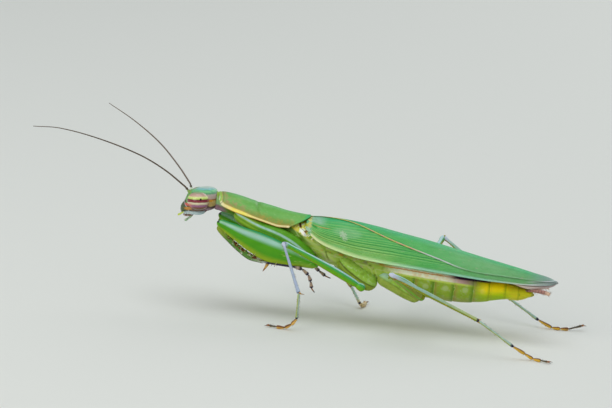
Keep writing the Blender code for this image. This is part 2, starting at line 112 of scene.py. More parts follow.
# %% Place the camera
AIM = Vector((-5.57, 0.0, 7.45))  # looked-at point, in body millimetres
VIEW_WIDTH = 39.78  # millimetres of body from the left to the right of the view
DISTANCE, LOOK_DOWN, LEAN = 300.0, math.radians(12.0), math.radians(6.2)

back = Vector((0.0, -math.cos(LOOK_DOWN), math.sin(LOOK_DOWN)))
level = Vector((1.0, 0.0, 0.0))
right = Quaternion(-back, -LEAN) @ level
up = back.cross(right)
lens = bpy.data.cameras.new("camera")
lens.sensor_width = 36.0
lens.lens = lens.sensor_width * DISTANCE / VIEW_WIDTH
lens.clip_start, lens.clip_end = 0.01, 20.0
camera = bpy.data.objects.new("camera", lens)
bpy.context.scene.collection.objects.link(camera)
camera.matrix_world = Matrix.Translation(mm(AIM + back * DISTANCE)) @ Matrix(
    (right, up, back)).transposed().to_4x4()
bpy.context.scene.camera = camera
print("lens", round(lens.lens, 1), "mm, camera height", round(1000 * camera.location.z), "mm")

# %% [markdown]
# The floor is one plain pale sheet, wide enough to fill every view. Soft light makes green wax and shell
# readable: a broad cool panel overhead, like an overcast sky, gives the backs their pale sheen, a warmer
# panel in front on the left shapes the sides, and a weak one behind keeps the far legs from going dark.
# At this size the panels are only a hand's width across and need half a watt.

# %% Floor and soft light
FLOOR_SIZE = 6.0
bpy.ops.mesh.primitive_plane_add(size=FLOOR_SIZE, location=(0.0, 0.0, 0.0))
floor = bpy.context.object
floor.name = "floor"
floor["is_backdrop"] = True
PANELS = {  # name: place in body millimetres, width in metres, watts, colour
    "sky": ((-20.0, -40.0, 260.0), 0.30, 0.40, (0.90, 0.96, 1.00)),
    "front": ((-150.0, -190.0, 120.0), 0.18, 0.24, (1.00, 0.97, 0.92)),
    "behind": ((120.0, 190.0, 110.0), 0.20, 0.16, (0.95, 0.98, 1.00)),
}
for name, (place, width, watts, colour) in PANELS.items():
    panel = bpy.data.lights.new(name, "AREA")
    panel.shape, panel.size, panel.energy, panel.color = "DISK", width, watts, colour
    lamp = bpy.data.objects.new(name, panel)
    bpy.context.scene.collection.objects.link(lamp)
    lamp.location = mm(place)
    lamp.rotation_mode = "QUATERNION"
    lamp.rotation_quaternion = (mm((0.0, 0.0, 3.0)) - lamp.location).to_track_quat("-Z", "Y")
world = bpy.data.worlds.new("soft surround")
world.use_nodes = True
surround = world.node_tree.nodes["Background"].inputs
surround["Color"].default_value = (0.80, 0.84, 0.86, 1.0)
surround["Strength"].default_value = 0.32
bpy.context.scene.world = world
bpy.context.scene.view_settings.view_transform = "Standard"
print("floor", FLOOR_SIZE, "m wide,", len(PANELS), "light panels")

# %% [markdown]
# ## A small language for finishes
# Every finish is a tree of shader nodes. Writing a tree node by node hides its meaning, so a Flow wraps one
# socket and lets sums, products and powers be written as sums, products and powers: each adds its Math
# node. Any other node comes from one method, add, which takes the node's type, its settings and what its
# sockets get. A Finish is one material, painted coat over coat; its colours are written as red, green and
# blue from 0 to 255.

# %% Flow and Finish
class Flow:
    """A value or colour on its way between shader nodes."""

    def __init__(self, finish, socket):
        self.finish, self.socket = finish, socket

    def math(self, operation, *others):
        values = dict(enumerate([self, *others]))
        return self.finish.add("ShaderNodeMath", {"operation": operation}, values)

    def __add__(self, other):
        return self.math("ADD", other)

    def __sub__(self, other):
        return self.math("SUBTRACT", other)

    def __rsub__(self, other):
        return self.math("MULTIPLY_ADD", -1.0, other)

    def __mul__(self, other):
        return self.math("MULTIPLY", other)

    def __truediv__(self, other):
        return self.math("DIVIDE", other)

    def __pow__(self, other):
        return self.math("POWER", other)

    __radd__, __rmul__ = __add__, __mul__

    def size(self):
        """The value without its sign."""
        return self.math("ABSOLUTE")

    def least(self, other):
        """The smaller of two values."""
        return self.math("MINIMUM", other)

    def rise(self, low, high):
        """0 below low, 1 above high, and a smooth slope between; low may be the larger one."""
        flip = low > high
        ends = {1: min(low, high), 2: max(low, high), 3: float(flip), 4: float(not flip)}
        return self.finish.add("ShaderNodeMapRange", {"interpolation_type": "SMOOTHSTEP"}, {0: self, **ends})

    def near(self, middle, width):
        """1 at the middle and 0 from one width away."""
        return (self - middle).size().rise(width, 0.0)

    def inside(self, low, high, edge):
        """1 between low and high, with soft edges."""
        return self.rise(low - edge, low + edge) * self.rise(high + edge, high - edge)


class Finish:
    """A named Principled material that is being wired up."""

    def __init__(self, name, **constants):
        self.material = bpy.data.materials.new(name)
        self.material.use_nodes = True
        self.tree = self.material.node_tree
        self.shader = self.tree.nodes["Principled BSDF"]
        for socket, value in constants.items():
            self.shader.inputs[socket.replace("_", " ").title().replace("Ior", "IOR")].default_value = value
        self.kept = {}
        self.colour = None  # what has been painted so far

    def add(self, kind, settings=None, sockets=None, out=0):
        """A new node. The settings' stops are a colour ramp's, as (position, colour)."""
        node = self.tree.nodes.new(kind)
        for key, value in (settings or {}).items():
            if key == "stops":
                while len(node.color_ramp.elements) < len(value):
                    node.color_ramp.elements.new(1.0)
                for element, (position, colour) in zip(node.color_ramp.elements, value):
                    element.position, element.color = position, (*colour, 1.0)
            else:
                setattr(node, key, value)
        for key, value in (sockets or {}).items():
            if isinstance(value, Flow):
                self.tree.links.new(value.socket, node.inputs[key])
            elif isinstance(value, tuple) and len(value) == 3 and node.inputs[key].type == "RGBA":
                node.inputs[key].default_value = (*value, 1.0)
            else:
                node.inputs[key].default_value = value
        return Flow(self, node.outputs[out])

    def place(self, axis):
        """The body millimetre along x, y or z of each point."""
        if not self.kept:
            spot = self.add("ShaderNodeTexCoord", out="Object")
            scaled = self.add("ShaderNodeVectorMath", {"operation": "MULTIPLY_ADD"},
                              {0: spot, 1: (1 / MM,) * 3, 2: tuple(ORIGIN)})
            self.kept = {"spot": scaled}
            for name in "xyz":
                self.kept[name] = self.add("ShaderNodeSeparateXYZ", None, {0: scaled}, out=name.upper())
        return self.kept[axis]

    def spot(self):
        """The place of each point, in body millimetres."""
        self.place("x")
        return self.kept["spot"]

    def lane(self, name):
        """A number that a piece carries on its own surface."""
        return self.add("ShaderNodeAttribute", {"attribute_name": name}, out="Fac")

    def speckle(self, size, detail=2.0, stretch=(1.0, 1.0, 1.0)):
        """Smooth noise from 0 to 1 whose patches are about size millimetres across."""
        pulled = self.add("ShaderNodeVectorMath", {"operation": "MULTIPLY"}, {0: self.spot(), 1: stretch})
        return self.add("ShaderNodeTexNoise", None, {"Vector": pulled, "Scale": 1 / size, "Detail": detail})

    def layout(self, axis):
        """How far along (X) or round (Y) its tube each point is, from 0 to 1."""
        spread = self.add("ShaderNodeUVMap", {"uv_map": "UVMap"})
        return self.add("ShaderNodeSeparateXYZ", None, {0: spread}, out=axis)

    def gaps(self, count):
        """0 between the beads of a tube with a count of beads, and 1 in the middle of each."""
        return (self.layout("X") * count * math.pi).math("SINE").size()

    def blend(self, share, one, other):
        """Colour one where share is 0, and the other where it is 1."""
        sockets = {0: share, 6: tint(one), 7: tint(other)}
        return self.add("ShaderNodeMix", {"data_type": "RGBA"}, sockets, out=2)

    def paint(self, share, colour):
        """Covers what has been painted so far with a colour, fully where share is 1."""
        self.colour = self.blend(share, self.colour, colour)

    def bands(self, value, low, high, colours):
        """A row of (place, colour) laid along a value between low and high."""
        stops = [((place - low) / (high - low), tint(colour)) for place, colour in colours]
        scaled = (value - low) / (high - low)
        return self.add("ShaderNodeValToRGB", {"stops": stops}, {0: scaled})

    def wear(self, colour, roughness=None, height=None, depth=0.01, coat=None):
        """Sends the colour and the rest to the shader; height is raised by depth millimetres at 1."""
        for name, value in (("Base Color", tint(colour)), ("Roughness", roughness), ("Coat Weight", coat)):
            if isinstance(value, Flow):
                self.tree.links.new(value.socket, self.shader.inputs[name])
            elif value is not None:
                self.shader.inputs[name].default_value = value if isinstance(value, float) else (*value, 1.0)
        if height is not None:
            bump = self.add("ShaderNodeBump", None, {"Height": height, "Distance": depth * MM})
            self.tree.links.new(bump.socket, self.shader.inputs["Normal"])
        return self.material


def tint(colour):
    """A colour mixed on a screen, red, green and blue from 0 to 255, as the plain light that shaders use."""
    if isinstance(colour, Flow):
        return colour
    return tuple((c / 255 / 12.92) if c < 10.3 else ((c / 255 + 0.055) / 1.055) ** 2.4 for c in colour)


plain = Finish("pale floor", roughness=0.9)
floor.data.materials.append(plain.wear((226, 226, 220)))
print("floor finish ready")

# %% [markdown]
# ## Tools for growing a body
# Most of an insect is a tube: trunk, leg, feeler and tail all begin as a flat grid that is bent round an
# axis and welded shut. Its two texture coordinates then run along the tube and round it, so a pattern can
# follow the limb wherever it points.

# %% Grids bent into tubes
CAP_RINGS = 4  # rings that round off each end of a tube
LONGEST_END = 0.3  # share of a bar that one rounded end may take


def edit(piece, *steps):
    """Runs mesh operators, given as (operator, options), on the whole of one piece in edit mode."""
    bpy.ops.object.select_all(action="DESELECT")
    piece.select_set(True)
    bpy.context.view_layer.objects.active = piece
    bpy.ops.object.mode_set(mode="EDIT")
    bpy.ops.mesh.select_all(action="SELECT")
    for operator, options in steps:
        operator(**options)
    bpy.ops.object.mode_set(mode="OBJECT")


def wrap(name, along, around, shape, closed=True):
    """A grid bent to a shape: shape(u, v) gives the points, in body millimetres, and their share along. A
    closed piece is welded at its seam and poles and has its faces turned outwards."""
    bpy.ops.object.select_all(action="DESELECT")
    bpy.ops.mesh.primitive_grid_add(x_subdivisions=along, y_subdivisions=around, size=1.0)
    piece = bpy.context.object
    piece.name = piece.data.name = name
    mesh = piece.data
    flat = np.empty(3 * len(mesh.vertices))
    mesh.vertices.foreach_get("co", flat)
    flat = flat.reshape(-1, 3) + 0.5
    points, share = shape(flat[:, 0], flat[:, 1])
    mesh.vertices.foreach_set("co", metres(points).ravel())
    corners = np.empty(len(mesh.loops), int)
    mesh.loops.foreach_get("vertex_index", corners)
    layout = np.stack([share[corners], flat[corners, 1]], axis=1)
    mesh.uv_layers[0].data.foreach_set("uv", layout.ravel())
    if closed:
        edit(piece, (bpy.ops.mesh.remove_doubles, {"threshold": WELD}),
             (bpy.ops.mesh.normals_make_consistent, {"inside": False}))
    return piece


def rounded(u, rings, start, end):
    """Shares along a bar and how far its ends are drawn in, for ends as deep as the shares start and end."""
    turn = np.linspace(0.0, math.pi / 2, CAP_RINGS + 1)
    middle = np.linspace(start, 1 - end, rings - 2 * CAP_RINGS + 1)[1:-1]
    shares = [start * (1 - np.cos(turn)), middle, 1 - end * (1 - np.cos(turn[::-1]))]
    drawn = [np.sin(turn), np.ones(len(middle)), np.sin(turn[::-1])]
    index = np.arange(rings + 1) / rings
    return np.interp(u, index, np.concatenate(shares)), np.interp(u, index, np.concatenate(drawn))


def unit(vectors):
    """The same directions, each with length 1."""
    return vectors / np.linalg.norm(vectors, axis=1, keepdims=True)


def path_rows(path):
    """Rows of share along and place for points along a path, and the path's length."""
    path = np.array(path, float)
    run = np.concatenate([[0.0], np.cumsum(np.linalg.norm(np.diff(path, axis=0), axis=1))])
    return np.column_stack([run / run[-1], path]), run[-1]


def tube(name, path, radii, rings=30, sides=16, flat=1.0, up=(0.0, 0.0, 1.0), relief=None):
    """A round-ended bar along a smooth path. radii holds rows of share along, half depth and, if it differs
    from flat times the depth, half width; relief(share, v) gives a factor on both."""
    rows, length = path_rows(path)
    start, end = np.minimum(smooth_rows(radii, [0.0, 1.0])[0] / length, LONGEST_END)

    def shape(u, v):
        share, drawn = rounded(u, rings, start, end)
        centre = smooth_rows(rows, share).T
        ahead = smooth_rows(rows, share + 0.01).T - smooth_rows(rows, share - 0.01).T
        side = unit(np.cross(unit(ahead), np.array(up, float)))
        top = np.cross(side, unit(ahead))
        sizes = smooth_rows(radii, share) * drawn * (relief(share, v) if relief else 1.0)
        depth, width = sizes[0], sizes[1] if len(sizes) > 1 else sizes[0] * flat
        around = math.tau * v
        offset = top * (depth * np.cos(around))[:, None] + side * (width * np.sin(around))[:, None]
        return centre + offset, share
    return wrap(name, rings, sides, shape)

# %% [markdown]
# Fine form is pressed into the finished tubes: every tool below moves points along their normals, by an
# amount that falls off with the distance from a line or a place. The last few tools join pieces, give them
# a finish and say which solids they stand for.

# %% Sculpting
def read(piece):
    """Points and normals of a piece, in body millimetres."""
    mesh = piece.data
    points, normals = np.empty(3 * len(mesh.vertices)), np.empty(3 * len(mesh.vertices))
    mesh.vertices.foreach_get("co", points)
    mesh.vertices.foreach_get("normal", normals)
    return points.reshape(-1, 3) / MM + np.array(ORIGIN), normals.reshape(-1, 3)


def move(piece, points):
    """Puts every point of a piece at a new place."""
    piece.data.vertices.foreach_set("co", metres(points).ravel())
    piece.data.update()


def push(piece, amount):
    """Moves every point along its normal by the amount, in millimetres."""
    points, normals = read(piece)
    move(piece, points + normals * np.asarray(amount)[:, None])


def bell(value, middle, width):
    """1 where the value is in the middle, and smoothly less on both sides, over the width."""
    return np.exp(-((value - middle) / width) ** 2)


def distance(points, path):
    """How far each point is from a line through the path's points."""
    nearest = np.full(len(points), np.inf)
    for start, end in zip(np.array(path[:-1], float), np.array(path[1:], float)):
        run = end - start
        share = np.clip((points - start) @ run / (run @ run), 0.0, 1.0)
        nearest = np.minimum(nearest, np.linalg.norm(points - start - share[:, None] * run, axis=1))
    return nearest


def crease(piece, path, width, depth):
    """Presses a groove along a path; a depth below 0 raises a ridge."""
    push(piece, -depth * bell(distance(read(piece)[0], path), 0.0, width))


def swell(piece, centre, reach, height):
    """Raises a soft boss; reach is its size along x, y and z."""
    away = (read(piece)[0] - np.array(centre)) / np.array(reach)
    push(piece, height * np.exp(-np.sum(away ** 2, axis=1)))


def face_up(piece):
    """Turns an open shell so that its outer face looks up."""
    if np.mean(read(piece)[1][:, 2]) < 0:
        edit(piece, (bpy.ops.mesh.flip_normals, {}))


def solidify(piece, wall):
    """Gives an open shell a wall, in millimetres, under its outer face."""
    modifier = piece.modifiers.new("wall", "SOLIDIFY")
    modifier.thickness, modifier.offset, modifier.use_even_offset = wall * MM, -1.0, False
    bpy.context.view_layer.objects.active = piece
    bpy.ops.object.modifier_apply(modifier=modifier.name)


def both(act, piece, path, *sizes):
    """Does the same on the right side and, mirrored, on the left."""
    for sign in (1, -1):
        act(piece, np.array(path) * (1, sign, 1), *sizes)


def number(piece, name, values):
    """Keeps a number for each point of the piece, which its finish can read."""
    piece.data.attributes.new(name, "FLOAT", "POINT").data.foreach_set("value", values.astype(np.float32))


def join(name, pieces):
    """Makes one piece of several."""
    bpy.ops.object.select_all(action="DESELECT")
    for piece in pieces:
        piece.select_set(True)
    bpy.context.view_layer.objects.active = pieces[0]
    if len(pieces) > 1:
        bpy.ops.object.join()
    pieces[0].name = pieces[0].data.name = name
    return pieces[0]


def coat(piece, material):
    """Gives a piece one finish and smooth shading."""
    piece.data.materials.clear()
    piece.data.materials.append(material)
    piece.data.shade_smooth()
    return piece


def settle(piece, slot, *nodes):
    """The piece rides on the frame and stands for the named solids, which it hides; slot is not used."""
    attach(piece, "root")
    if nodes:
        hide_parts(*nodes)
    triangles = sum(len(face.vertices) - 2 for face in piece.data.polygons)
    print(piece.name, "-", triangles, "triangles, stands for", ", ".join(nodes) or "no solid")
    return piece

# %% [markdown]
# ## The head
# Seen from the front a mantis's head is a rounded triangle: a large eye at each upper corner and the mouth
# at the lower one. The capsule is a tube closed at the brow and the nape whose sections widen to carry the
# eyes. The seams between its plates, the sockets of the feelers and the three tiny simple eyes are then
# sculpted, and the whole head is cocked four degrees, right side down, as the living one is.

# %% Head capsule
HEAD = (  # x, half width, top, waist (widest level), bottom
    (-13.64, 0.30, 6.44, 6.24, 6.10), (-13.50, 0.56, 6.82, 6.38, 6.04), (-13.23, 0.90, 7.40, 6.88, 6.05),
    (-12.75, 1.22, 7.70, 7.08, 6.10), (-12.25, 1.34, 7.86, 7.12, 6.22), (-11.75, 1.18, 7.89, 7.10, 6.37),
    (-11.34, 0.74, 7.74, 7.08, 6.58),
)
HEAD_ROLL, HEAD_AXIS = math.radians(4.0), Vector((0.0, 0.0, 7.20))
EYE, EYE_RADII = Vector((-12.52, 1.18, 7.05)), (0.73, 0.62, 0.60)  # the right eye


def section(rows, x, turn, drawn=1.0):
    """Points of a tube along x, at angles from its top; rows hold x, half width, top, waist and bottom."""
    wide, top, waist, bottom = smooth_rows(rows, x)
    reach = np.where(np.cos(turn) > 0, top - waist, waist - bottom) * drawn
    return np.stack([x, wide * drawn * np.sin(turn), waist + reach * np.cos(turn)], axis=1)


def on_tube(rows, *places):
    """Points on a tube's skin, each given by its x and its angle from the top, in degrees."""
    x, turn = np.array(places).T
    return section(rows, x, np.radians(turn))


def trunk_tube(name, rows, rings, sides, ends, swelling=None):
    """A closed tube through rows of sections; ends are its closing depths."""
    first, last = rows[0][0], rows[-1][0]

    def shape(u, v):
        share, drawn = rounded(u, rings, ends[0] / (last - first), ends[1] / (last - first))
        x = first + (last - first) * share
        if swelling:
            drawn = drawn * swelling(x)
        return section(rows, x, math.tau * v, drawn), share
    return wrap(name, rings, sides, shape)


def cock(piece):
    """Rolls a finished piece of the head with the head."""
    axis = mm(HEAD_AXIS)
    piece.data.transform(Matrix.Translation(axis) @ Matrix.Rotation(-HEAD_ROLL, 4, "X")
                         @ Matrix.Translation(-axis))
    return piece


capsule = trunk_tube("head_capsule", HEAD, rings=72, sides=112, ends=(0.10, 0.10))
swell(capsule, (-13.38, 0.0, 6.85), (0.20, 0.36, 0.30), -0.05)  # the flat brow under the feelers
swell(capsule, (-13.52, 0.0, 6.46), (0.18, 0.30, 0.20), 0.06)  # clypeus, the swelling above the lip
SOCKET = on_tube(HEAD, (-13.12, 26.0))[0]
both(swell, capsule, SOCKET, (0.15, 0.15, 0.15), 0.09)
both(swell, capsule, SOCKET + (0.0, 0.0, 0.05), (0.07, 0.07, 0.07), -0.06)
both(swell, capsule, on_tube(HEAD, (-12.75, 125.0))[0], (0.45, 0.25, 0.22), 0.07)  # cheeks over the jaws
both(swell, capsule, on_tube(HEAD, (-11.85, 80.0))[0], (0.30, 0.30, 0.35), 0.07)  # temples behind the eyes
HEAD_SEAMS = (  # x and angle from the top along each seam, its width and depth
    (((-13.05, 12.0), (-12.50, 17.0), (-11.75, 20.0)), 0.035, 0.035),
    (((-12.85, 33.0), (-12.40, 33.0), (-11.75, 40.0)), 0.040, 0.035),
    (((-13.50, 5.0), (-13.44, 50.0), (-13.25, 75.0)), 0.035, 0.035),
    (((-13.32, 8.0), (-13.26, 40.0), (-13.16, 62.0)), 0.035, 0.030),
    (((-13.30, 115.0), (-12.80, 113.0), (-12.10, 108.0)), 0.045, 0.050),
    (((-11.85, 15.0), (-11.72, 50.0), (-11.72, 95.0)), 0.050, 0.035),
)
for places, width, depth in HEAD_SEAMS:
    both(crease, capsule, on_tube(HEAD, *places), width, depth)
for x, turn in ((-13.20, 0.0), (-13.08, 10.0), (-13.08, -10.0)):  # three simple eyes between the feelers
    swell(capsule, on_tube(HEAD, (x, turn))[0], (0.055, 0.055, 0.055), 0.06)
print("head capsule:", len(capsule.data.vertices), "points")

# %% [markdown]
# The capsule's colours follow the living animal: a bluish green dome with teal lines, a dark line between
# whitish edges down the face, red and orange spots under the eye, a tan patch behind it, and a white-blue
# stripe along the jaw.

# %% Finish of the head
# the stripes lie across the cocked head and rise to the nape
HEAD_TILT, HEAD_SLOPE = math.tan(HEAD_ROLL), 0.10
FLANK_STRIPES = (  # level on the side of the head behind the eye, colour
    (6.30, (70, 34, 44)), (6.50, (128, 84, 110)), (6.58, (74, 40, 28)), (6.72, (104, 66, 30)),
    (6.84, (160, 120, 60)), (7.06, (176, 120, 56)), (7.14, (150, 92, 34)), (7.20, (190, 166, 150)),
    (7.44, (170, 156, 144)), (7.50, (76, 142, 92)), (7.54, (80, 150, 96)), (7.60, (116, 190, 124)),
    (7.68, (122, 196, 140)), (7.74, (124, 188, 190)), (7.84, (206, 218, 208)),
)
HEAD_SPOTS = (  # middle and reach along and up, how frayed, where its edge starts and ends, colour
    ((-13.16, 0.26), (6.80, 0.12), 1.5, 1.4, 0.2, (214, 96, 84)),
    ((-13.16, 0.28), (6.50, 0.12), 1.8, 1.4, 0.2, (204, 142, 52)),
    ((-11.74, 0.24), (7.06, 0.08), 1.8, 1.2, 0.3, (216, 150, 40)),
    ((-11.52, 0.26), (6.58, 0.11), 1.2, 1.4, 0.3, (66, 34, 22)),
)


def oval(first, second, grain=None, rag=0.0):
    """0 in the middle of an oval and 1 on its rim, which the grain frays. Each of the first two arguments
    is a value, where the oval's middle is along it and how far the oval reaches."""
    spread = [((value - middle) / reach) ** 2.0 for value, middle, reach in (first, second)]
    rim = spread[0] + spread[1]
    return rim + rag * (grain - 0.5) if rag else rim


def head_finish():
    skin = Finish("head skin", roughness=0.36, subsurface_weight=0.08, subsurface_scale=0.0003)
    x, y, z = skin.place("x"), skin.place("y"), skin.place("z")
    side = y.size()
    mottle, blotch, pits = skin.speckle(0.25), skin.speckle(0.12, 3.0), skin.speckle(0.05, 3.0)
    level = z + HEAD_TILT * y - HEAD_SLOPE * (x - EYE.x) + 0.06 * (mottle - 0.5)
    flank = skin.bands(level, 6.2, 8.0, FLANK_STRIPES)
    white = skin.blend(blotch, (150, 186, 168), (206, 220, 206))
    flank = skin.blend(side.rise(0.45, 0.05) * level.rise(7.6, 7.8) * 0.6, flank, white)
    lines = (side.near(0.38, 0.06) + side.near(0.72, 0.07)).least(1.0) * level.rise(7.4, 7.6)
    flank = skin.blend(lines * 0.7, flank, (62, 140, 120))
    tan = oval((x, -11.62, 0.32), (level, 6.86, 0.25), blotch, 0.8).rise(1.1, 0.6)
    flank = skin.blend(tan, flank, skin.blend(blotch, (176, 136, 62), (222, 200, 132)))
    lower = skin.blend(blotch, (84, 48, 22), (140, 92, 54))
    flank = skin.blend(x.rise(-11.95, -12.25) * level.rise(6.80, 6.72), flank, lower)
    front = skin.blend(blotch, (96, 150, 74), (132, 186, 104))
    skin.colour = skin.blend(x.rise(-12.95, -13.10) * level.rise(6.72, 6.95), flank, front)
    slope = level + 1.7 * (x + 13.4)  # runs down the face, from the feelers to the lip
    edge = slope.rise(7.20, 6.98)
    skin.paint(edge, skin.blend(blotch, (40, 52, 34), (84, 88, 66)))
    skin.paint(slope.near(6.84, 0.09) * 0.85, (222, 216, 222))
    skin.paint(slope.rise(6.76, 6.62), skin.blend(blotch, (42, 42, 30), (92, 116, 56)))
    for across, upward, rag, outer, inner, colour in HEAD_SPOTS:
        rim = oval((x, *across), (level, *upward), blotch, rag)
        skin.paint(rim.rise(outer, inner), colour)
    skin.paint(level.rise(6.26, 6.16), (92, 50, 44))
    beads = (x + 13.14).size().rise(0.16, 0.10) * side.rise(0.19, 0.15) * level.rise(7.2, 7.3)
    return skin.wear(skin.colour, roughness=0.30 + 0.22 * mottle, height=pits + 2.0 * mottle, depth=0.006,
                     coat=0.25 * beads)


coat(capsule, head_finish())
print("head finish ready")

# %% [markdown]
# Each compound eye is an egg of thousands of lenses. It starts as a ball, stretched to the size of its
# solid. Level stripes run round it, pinkish cream at the top, then pale green, maroon, cream, mauve and
# brown, with the small dark spot that seems to look back. The lenses are only a fiftieth of a millimetre
# wide, so they are a fine bump rather than geometry.

# %% Compound eyes
EYE_STRIPES = (  # height above the eye's middle, colour
    (-0.60, (70, 40, 20)), (-0.46, (112, 70, 34)), (-0.38, (126, 76, 60)),
    (-0.31, (160, 100, 136)), (-0.22, (156, 104, 134)), (-0.17, (206, 190, 160)),
    (-0.06, (232, 226, 190)), (-0.02, (128, 56, 40)), (0.06, (146, 54, 72)), (0.14, (100, 26, 42)),
    (0.20, (196, 218, 110)), (0.31, (220, 232, 150)), (0.36, (206, 170, 150)),
    (0.50, (184, 150, 136)), (0.58, (140, 170, 120)),
)
LENS_CELLS = 42.0  # cells of the bump in a millimetre


def eye_finish():
    cornea = Finish("striped eye", roughness=0.20, specular_ior_level=0.35, coat_weight=0.25,
                    coat_roughness=0.06)
    x, y, z = cornea.place("x"), cornea.place("y"), cornea.place("z")
    level = z + HEAD_TILT * y - HEAD_SLOPE * (x - EYE.x) + 0.05 * (cornea.speckle(0.3, 3.0) - 0.5) - EYE.z
    cornea.colour = cornea.bands(level, -0.64, 0.64, EYE_STRIPES)
    front = x.rise(-12.80, -13.10) * level.inside(-0.42, -0.12, 0.08)
    cornea.paint(front * 0.8, (216, 110, 100))
    cornea.paint(x.rise(-11.98, -11.88) * 0.5, (176, 130, 90))
    spot = ((x - EYE.x - 0.15) ** 2.0 + (level - 0.17) ** 2.0).rise(0.007, 0.002) * y.size().rise(1.4, 1.6)
    cornea.paint(spot, (28, 10, 22))
    lens_cells = cornea.add("ShaderNodeTexVoronoi", None, {"Vector": cornea.spot(), "Scale": LENS_CELLS})
    return cornea.wear(cornea.colour, height=lens_cells, depth=0.002)


cornea_material = eye_finish()


def compound_eye(side, sign):
    bpy.ops.object.select_all(action="DESELECT")
    place = mm((EYE.x, sign * EYE.y, EYE.z))
    bpy.ops.mesh.primitive_uv_sphere_add(segments=64, ring_count=40, radius=MM, location=place)
    eye = bpy.context.object
    eye.name = eye.data.name = "compound_eye_" + side
    edit(eye, (bpy.ops.transform.resize, {"value": EYE_RADII, "center_override": place}))
    bpy.ops.object.transform_apply(location=True, rotation=False, scale=False)
    return coat(cock(eye), cornea_material)


for side, sign in SIDES:
    settle(compound_eye(side, sign), "eye", "eye_" + side)
both(swell, capsule, EYE - Vector((0.0, 0.10, 0.0)), (0.80, 0.35, 0.68), 0.05)  # rims round the eyes
cock(capsule)

# %% [markdown]
# ## The trunk
# Neck, breast, thorax and abdomen are one soft skin in life, with harder plates let into it, so they are
# one tube here. Its sections follow the solids. The abdomen's rings each widen a little towards the tail
# and tuck in where the next one begins, a soft fold runs along each flank, and the thorax carries the
# seams of its side plates above the hip sockets.

# %% Trunk skin
TRUNK = (  # x, half width, top, waist, bottom
    (-11.85, 0.52, 7.60, 7.06, 6.56), (-11.40, 0.66, 7.64, 7.02, 6.48), (-11.05, 0.66, 7.44, 6.92, 6.40),
    (-10.00, 0.52, 6.95, 6.50, 6.12), (-8.50, 0.52, 6.65, 6.15, 5.78), (-7.20, 0.54, 6.35, 5.80, 5.40),
    (-6.60, 0.64, 6.32, 5.68, 5.14), (-6.20, 0.84, 6.46, 5.52, 4.82), (-5.80, 0.95, 6.50, 5.35, 4.60),
    (-4.60, 1.08, 6.30, 4.85, 4.00), (-3.20, 1.20, 6.10, 4.30, 3.60), (-1.60, 1.32, 5.95, 4.00, 3.25),
    (0.00, 1.40, 5.75, 3.70, 2.80), (1.00, 1.38, 5.52, 3.50, 2.50), (1.80, 1.48, 5.35, 3.40, 2.26),
    (3.20, 1.54, 5.00, 3.30, 2.16), (4.80, 1.48, 4.60, 3.20, 2.08), (6.40, 1.28, 4.15, 3.12, 2.25),
    (7.90, 1.00, 3.80, 3.10, 2.60), (8.90, 0.76, 3.55, 3.08, 2.62), (9.60, 0.46, 3.42, 3.16, 2.92),
    (9.78, 0.30, 3.36, 3.20, 3.06),
)
RING_EDGES = (-0.15, 0.85, 2.00, 3.25, 4.60, 5.85, 6.95, 8.02, 8.90, 9.80)  # where abdomen rings meet
RING_SWELL, RING_TUCK = 0.035, 0.030
NECK_END, NECK_FOLD, NECK_PACE = -11.1, 0.03, 16.0  # where the neck's folds end, their height and closeness


def ring_share(x):
    """How far along its ring of the abdomen each point is, from 0 to 1."""
    edges = np.array(RING_EDGES)
    index = np.clip(np.searchsorted(edges, x) - 1, 0, len(edges) - 2)
    return np.clip((x - edges[index]) / (edges[index + 1] - edges[index]), 0.0, 1.0)


def ringed(x):
    """The abdomen's rings: each one widens towards the tail, then tucks in under the next. The neck has
    fine folds."""
    fold = 1 - RING_TUCK + RING_SWELL * np.sin(ring_share(x) * math.pi * 0.55) ** 0.6
    neck = 1 + NECK_FOLD * np.sin((x + 11.8) * NECK_PACE) * (x < NECK_END)
    return np.where(x < RING_EDGES[0], neck, fold)


trunk = trunk_tube("trunk", TRUNK, rings=306, sides=78, ends=(0.12, 0.16), swelling=ringed)
both(crease, trunk, ((1.2, 1.44, 3.42), (4.8, 1.48, 3.22), (7.9, 1.00, 3.10), (9.2, 0.6, 3.12)), 0.07, 0.06)
both(crease, trunk, ((2.2, 1.20, 2.60), (4.8, 1.20, 2.46), (7.4, 0.80, 2.66)), 0.05, 0.03)
PLATE_SEAMS = (  # right side: the seams between the thorax's side plates
    ((-6.15, 0.80, 6.10), (-5.70, 1.00, 5.60), (-5.10, 1.08, 4.90), (-4.60, 0.80, 4.10)),
    ((-5.50, 1.00, 6.10), (-4.80, 1.10, 5.55), (-4.10, 1.15, 4.95), (-3.70, 1.10, 4.10)),
    ((-4.40, 1.05, 5.60), (-3.40, 1.20, 5.00), (-2.50, 1.25, 4.40), (-2.20, 1.15, 3.60)),
    ((-2.60, 1.15, 5.20), (-1.70, 1.30, 4.60), (-0.80, 1.35, 4.00), (-0.50, 1.20, 3.20)),
    ((-1.20, 1.20, 5.00), (-0.30, 1.38, 4.30), (0.60, 1.38, 3.60)),
    ((-5.95, 0.95, 5.35), (-4.20, 1.15, 4.80), (-2.00, 1.30, 4.35), (-0.20, 1.38, 4.05)),
)
for seam in PLATE_SEAMS:
    both(crease, trunk, seam, 0.05, 0.06)
both(swell, trunk, (-5.62, 1.00, 5.72), (0.30, 0.30, 0.35), 0.10)  # the plate behind the pronotum, which carries the painted white highlight
both(swell, trunk, (-3.30, 1.15, 4.55), (0.60, 0.40, 0.40), 0.08)  # plates over the hip sockets
both(swell, trunk, (-0.80, 1.30, 4.15), (0.60, 0.40, 0.40), 0.06)
